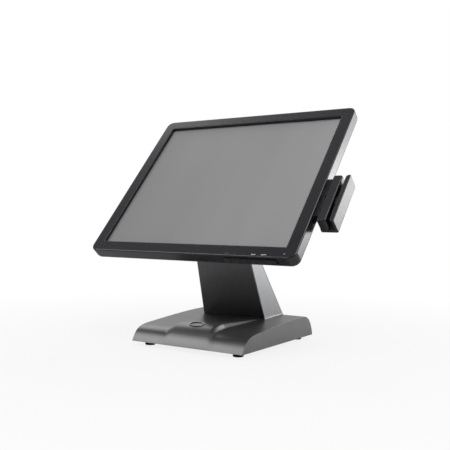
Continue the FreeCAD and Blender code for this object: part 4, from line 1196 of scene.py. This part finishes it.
def tilt_bracket():
    half, thick = 59 * mm, 2.5 * mm
    plate = loft("bracket_plate", [frame_ring((half - inset, half - inset), 8 * mm, hump_z - z)
                                   for inset, z in ((0.4 * mm, 0.02 * mm), (0.0, 0.4 * mm),
                                                    (0.0, thick - 0.4 * mm),
                                                    (0.4 * mm, thick))])
    y, z = hinge_local.y, hinge_local.z
    outline = [(-40 * mm, hump_z - thick + 0.2 * mm), (-56 * mm, hump_z - thick + 0.2 * mm)]
    for turn in range(70, 262, 12):
        outline.append((y + 7.5 * mm * math.cos(math.radians(turn)),
                        z + 7.5 * mm * math.sin(math.radians(turn))))
    outline.append((y + 7.5 * mm * math.cos(math.radians(300)),
                    z + 7.5 * mm * math.sin(math.radians(300))))
    rings = [[(x, a, b) for a, b in outline] for x in (-29 * mm, 29 * mm)]
    knuckle = loft("knuckle", rings)
    carve(plate, knuckle, "UNION")
    groove_gap = 14.5 * mm
    for x in (-groove_gap, groove_gap):
        cutter = drum("groove", (0, 0, x - 0.6 * mm), 20 * mm, 1.2 * mm)
        core = drum("core", (0, 0, x - 1 * mm), 6.9 * mm, 2 * mm)
        carve(cutter, core)
        cutter.data.transform(Matrix.Translation((0, y, z)) @ Matrix.Rotation(math.pi / 2, 4, "Y"))
        carve(cutter, block("above", (-1, y + 8 * mm, -1), (1, 1, 1)))
        carve(plate, cutter)
    soften(plate, 0.5 * mm, 2, 40.0)
    return into_place(plate)


bracket_steel = brushed("bracket_steel", (0.09, 0.09, 0.095), 0.36, 0.85, 0, 0.5)
dress(tilt_bracket(), bracket_steel, "display", "steel_plate", "tilt_bracket")
finish_nodes(plated_steel("shaft_steel", 0.5, 0.25), "hinge_shaft", "friction_washer_left",
             "friction_washer_right", "hinge_nut_left", "hinge_nut_right")


# ---- screws ------------------------------------------------------------------------------
# Blackened pan head screws with a cross recess hold the rear cover, the bracket, the neck
# panel and the feet. The same plan makes every size of them.


def screw_plan(material):
    """A pan head with a cross recess on every point, pointing along the given axis."""
    plan = Plan("pan_screws", {"Head Radius": "Float", "Head Height": "Float",
                               "Recess Width": "Float", "Axis": "Vector"})
    radius, high, wide = plan.size("Head Radius"), plan.size("Head Height"), \
        plan.size("Recess Width")
    ball = plan.add("GeometryNodeMeshUVSphere", values={"Segments": 24, "Rings": 12,
                                                        "Radius": radius})
    squash = plan.add("ShaderNodeCombineXYZ", values={"X": 1.0, "Y": 1.0, "Z": high / radius})
    dome = plan.add("GeometryNodeTransform", values={"Geometry": ball, "Scale": squash})
    cuts = []
    for x, y in ((radius * 1.1, wide), (wide, radius * 1.1)):
        size = plan.add("ShaderNodeCombineXYZ", values={"X": x, "Y": y, "Z": high * 1.2})
        bar_ = plan.add("GeometryNodeMeshCube", values={"Size": size})
        raised = plan.add("ShaderNodeCombineXYZ", values={"Z": high})
        cuts.append(plan.add("GeometryNodeTransform", values={"Geometry": bar_,
                                                              "Translation": raised}))
    headed = plan.add("GeometryNodeMeshBoolean", {"operation": "DIFFERENCE", "solver": "EXACT"},
                      {0: dome, 1: cuts})
    turn = plan.add("FunctionNodeAlignEulerToVector", {"axis": "Z"},
                    {"Vector": plan.size("Axis")})
    many = plan.add("GeometryNodeInstanceOnPoints", values={
        "Points": plan.size("Geometry"), "Instance": headed, "Rotation": turn})
    plan.finish(many, material)
    return plan


screw_steel = plated_steel("screw_black", 0.12, 0.35)
screws = screw_plan(screw_steel)


def screw_heads(name, places, axis, radius, high, body, slot, *nodes):
    points = new_piece(name, places, [])
    screws.run(points, {"Head Radius": radius, "Head Height": high, "Recess Width": radius * 0.26,
                        "Axis": tuple(axis)})
    smooth(points, 35.0)
    dress(points, screw_steel, body, slot, *nodes)


screw_heads("cover_screw_heads",
            [head @ Vector(p) for p in four_corners(183.2 * mm, 100 * mm, -21.0 * mm)],
            -outward, 2.8 * mm, 1.1 * mm, "display", "screw_steel", "rear_cover_screws")
screw_heads("bracket_screw_heads",
            [head @ Vector(p) for p in four_corners(50 * mm, 50 * mm, hump_z - 2.4 * mm)],
            -outward, 3.8 * mm, 2.1 * mm, "display", "screw_steel", "bracket_screws")


def panel_screw_places():
    places = []
    for z in (62 * mm, 140 * mm):
        for side in (-1, 1):
            places.append((stand_x + side * (neck_half(z) - 9 * mm),
                           lean_y(foot_back, back_touch, z), z))
    return places


back_normal = Vector((0, back_touch[0] - hinge.y, back_touch[1] - hinge.z)).normalized()
screw_heads("panel_screw_heads", panel_screw_places(), back_normal, 2.8 * mm, 1.1 * mm, "stand",
            "screw_steel", "neck_rear_screws")
foot_boxes = [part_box("foot_" + corner) for corner in
              ("front_left", "front_right", "rear_left", "rear_right")]
screw_heads("foot_screw_heads",
            [((low.x + high.x) / 2, (low.y + high.y) / 2, 3.4 * mm) for low, high in foot_boxes],
            (0, 0, -1), 3.8 * mm, 2.0 * mm, "stand", "screw_steel", "foot_screws")
finish_nodes(screw_steel, "base_cover_screws", "frame_bolts", "panel_screws",
             "main_board_screws", "power_board_screws", "touch_board_screws")
finish_nodes(plated_steel("turned_brass", 0.45, 0.3), "main_board_standoffs",
             "power_board_standoffs", "touch_board_standoffs")


# ---- card reader -------------------------------------------------------------------------
# A swipe reader on the right edge: a bracket, a thick rail with the head and board inside, a
# floor and a thinner outer rail. The slot's corners are rounded to lead the card in.

reader_low, reader_top = -85.0 * mm, 6.5 * mm
reader_front, slot_floor = -4.0 * mm, -24.0 * mm
rail_left, slot_left, slot_right, rail_right = 195 * mm, 209.8 * mm, 214.8 * mm, 222 * mm


def rail(name, left, right, back, front, radii, edge):
    """Upright rail whose outline has its own radius at each corner: slot side and outside."""
    outline = []
    ends = ((right, reader_top, radii[1], 0), (left, reader_top, radii[0], 90),
            (left, reader_low, radii[0], 180), (right, reader_low, radii[1], 270))
    for x, y, radius, start in ends:
        sx = 1 if x == right else -1
        sy = 1 if y == reader_top else -1
        for i in range(9):
            turn = math.radians(start + 90 * i / 8)
            outline.append((x - sx * radius + radius * math.cos(turn),
                            y - sy * radius + radius * math.sin(turn)))
    middle = Vector(((left + right) / 2, (reader_low + reader_top) / 2))
    half = Vector(((right - left) / 2, (reader_top - reader_low) / 2))
    rings = []
    for i in range(5):
        turn = math.radians(90 * i / 4)
        inset, z = edge * (1 - math.cos(turn)), front - edge * (1 - math.sin(turn))
        rings.append([(middle.x + (x - middle.x) * (1 - inset / half.x),
                       middle.y + (y - middle.y) * (1 - inset / half.y), z)
                      for x, y in outline])
    rings.insert(0, [(x, y, back) for x, y in outline])
    return loft(name, rings, crease=42.0)


def reader_rail():
    block_ = rail("reader_housing", rail_left, slot_left, slot_floor, reader_front,
                  (3.0 * mm, 4.0 * mm), 2.2 * mm)
    middle = (reader_low + reader_top) / 2
    carve(block_, block("head_room", (slot_left - 7.5 * mm, middle - 6.4 * mm, -20.4 * mm),
                        (slot_left + 1 * mm, middle + 6.4 * mm, -9.6 * mm)))
    carve(block_, block("board_room", (rail_left + 2 * mm, reader_low + 6 * mm, -25 * mm),
                        (rail_left + 5.4 * mm, reader_top - 6 * mm, -8 * mm)))
    smooth(block_, 42.0)
    return into_place(block_)


def reader_floor():
    rings = []
    for inset, z in ((1.2, -30.0), (0.35, -29.65), (0.0, -28.8), (0.0, -24.0)):
        half = ((rail_right - rail_left) / 2 - inset * mm,
                (reader_top - reader_low) / 2 - inset * mm)
        rings.append(frame_ring(half, 1.6 * mm, z * mm, 6, ((rail_left + rail_right) / 2,
                                                            (reader_low + reader_top) / 2)))
    return into_place(loft("reader_floor", rings))


def reader_bracket():
    edge = head_half.x
    mount_low, mount_top = reader_low + 12 * mm, reader_top - 3 * mm
    mount_middle = ((mount_low + mount_top) / 2, -17.5 * mm)
    rings = []
    for x in (edge, edge + 6 * mm):
        ring = frame_ring(((mount_top - mount_low) / 2, 8.5 * mm), 2 * mm, 0.0, 6, mount_middle)
        rings.append([(x, y, z) for y, z, _ in ring])
    plate = loft("reader_mount", rings)
    for y in (-64 * mm, -39 * mm, -14 * mm):
        carve(plate, block("groove", (edge + 2 * mm, y - 6 * mm, -10 * mm),
                           (edge + 4.2 * mm, y + 6 * mm, 0)))
    soften(plate, 0.4 * mm, 2, 40.0)
    return into_place(plate)


reader_black = satin_black("reader_black", (0.004, 0.004, 0.0062), 0.34, 0.0, 1300.0)
dress(reader_rail(), reader_black, "display", "reader_dark", "reader_rail")
dress(into_place(rail("reader_outer_rail", slot_right, rail_right, slot_floor, reader_front,
                      (4.0 * mm, 1.0 * mm), 1.2 * mm)), reader_black, "display",
      "reader_side", "reader_cover")
dress(reader_floor(), reader_black, "display", "reader_side", "reader_channel")
dress(reader_bracket(), reader_black, "display", "reader_dark", "reader_bracket")
# Painted shade: the read head and its spring are drawn near black for the shade deep in the slot,
# not in the bright nickel of their plating.
finish_nodes(plated_steel("read_head_painted_shade", 0.05, 0.45), "read_head", "read_head_spring")
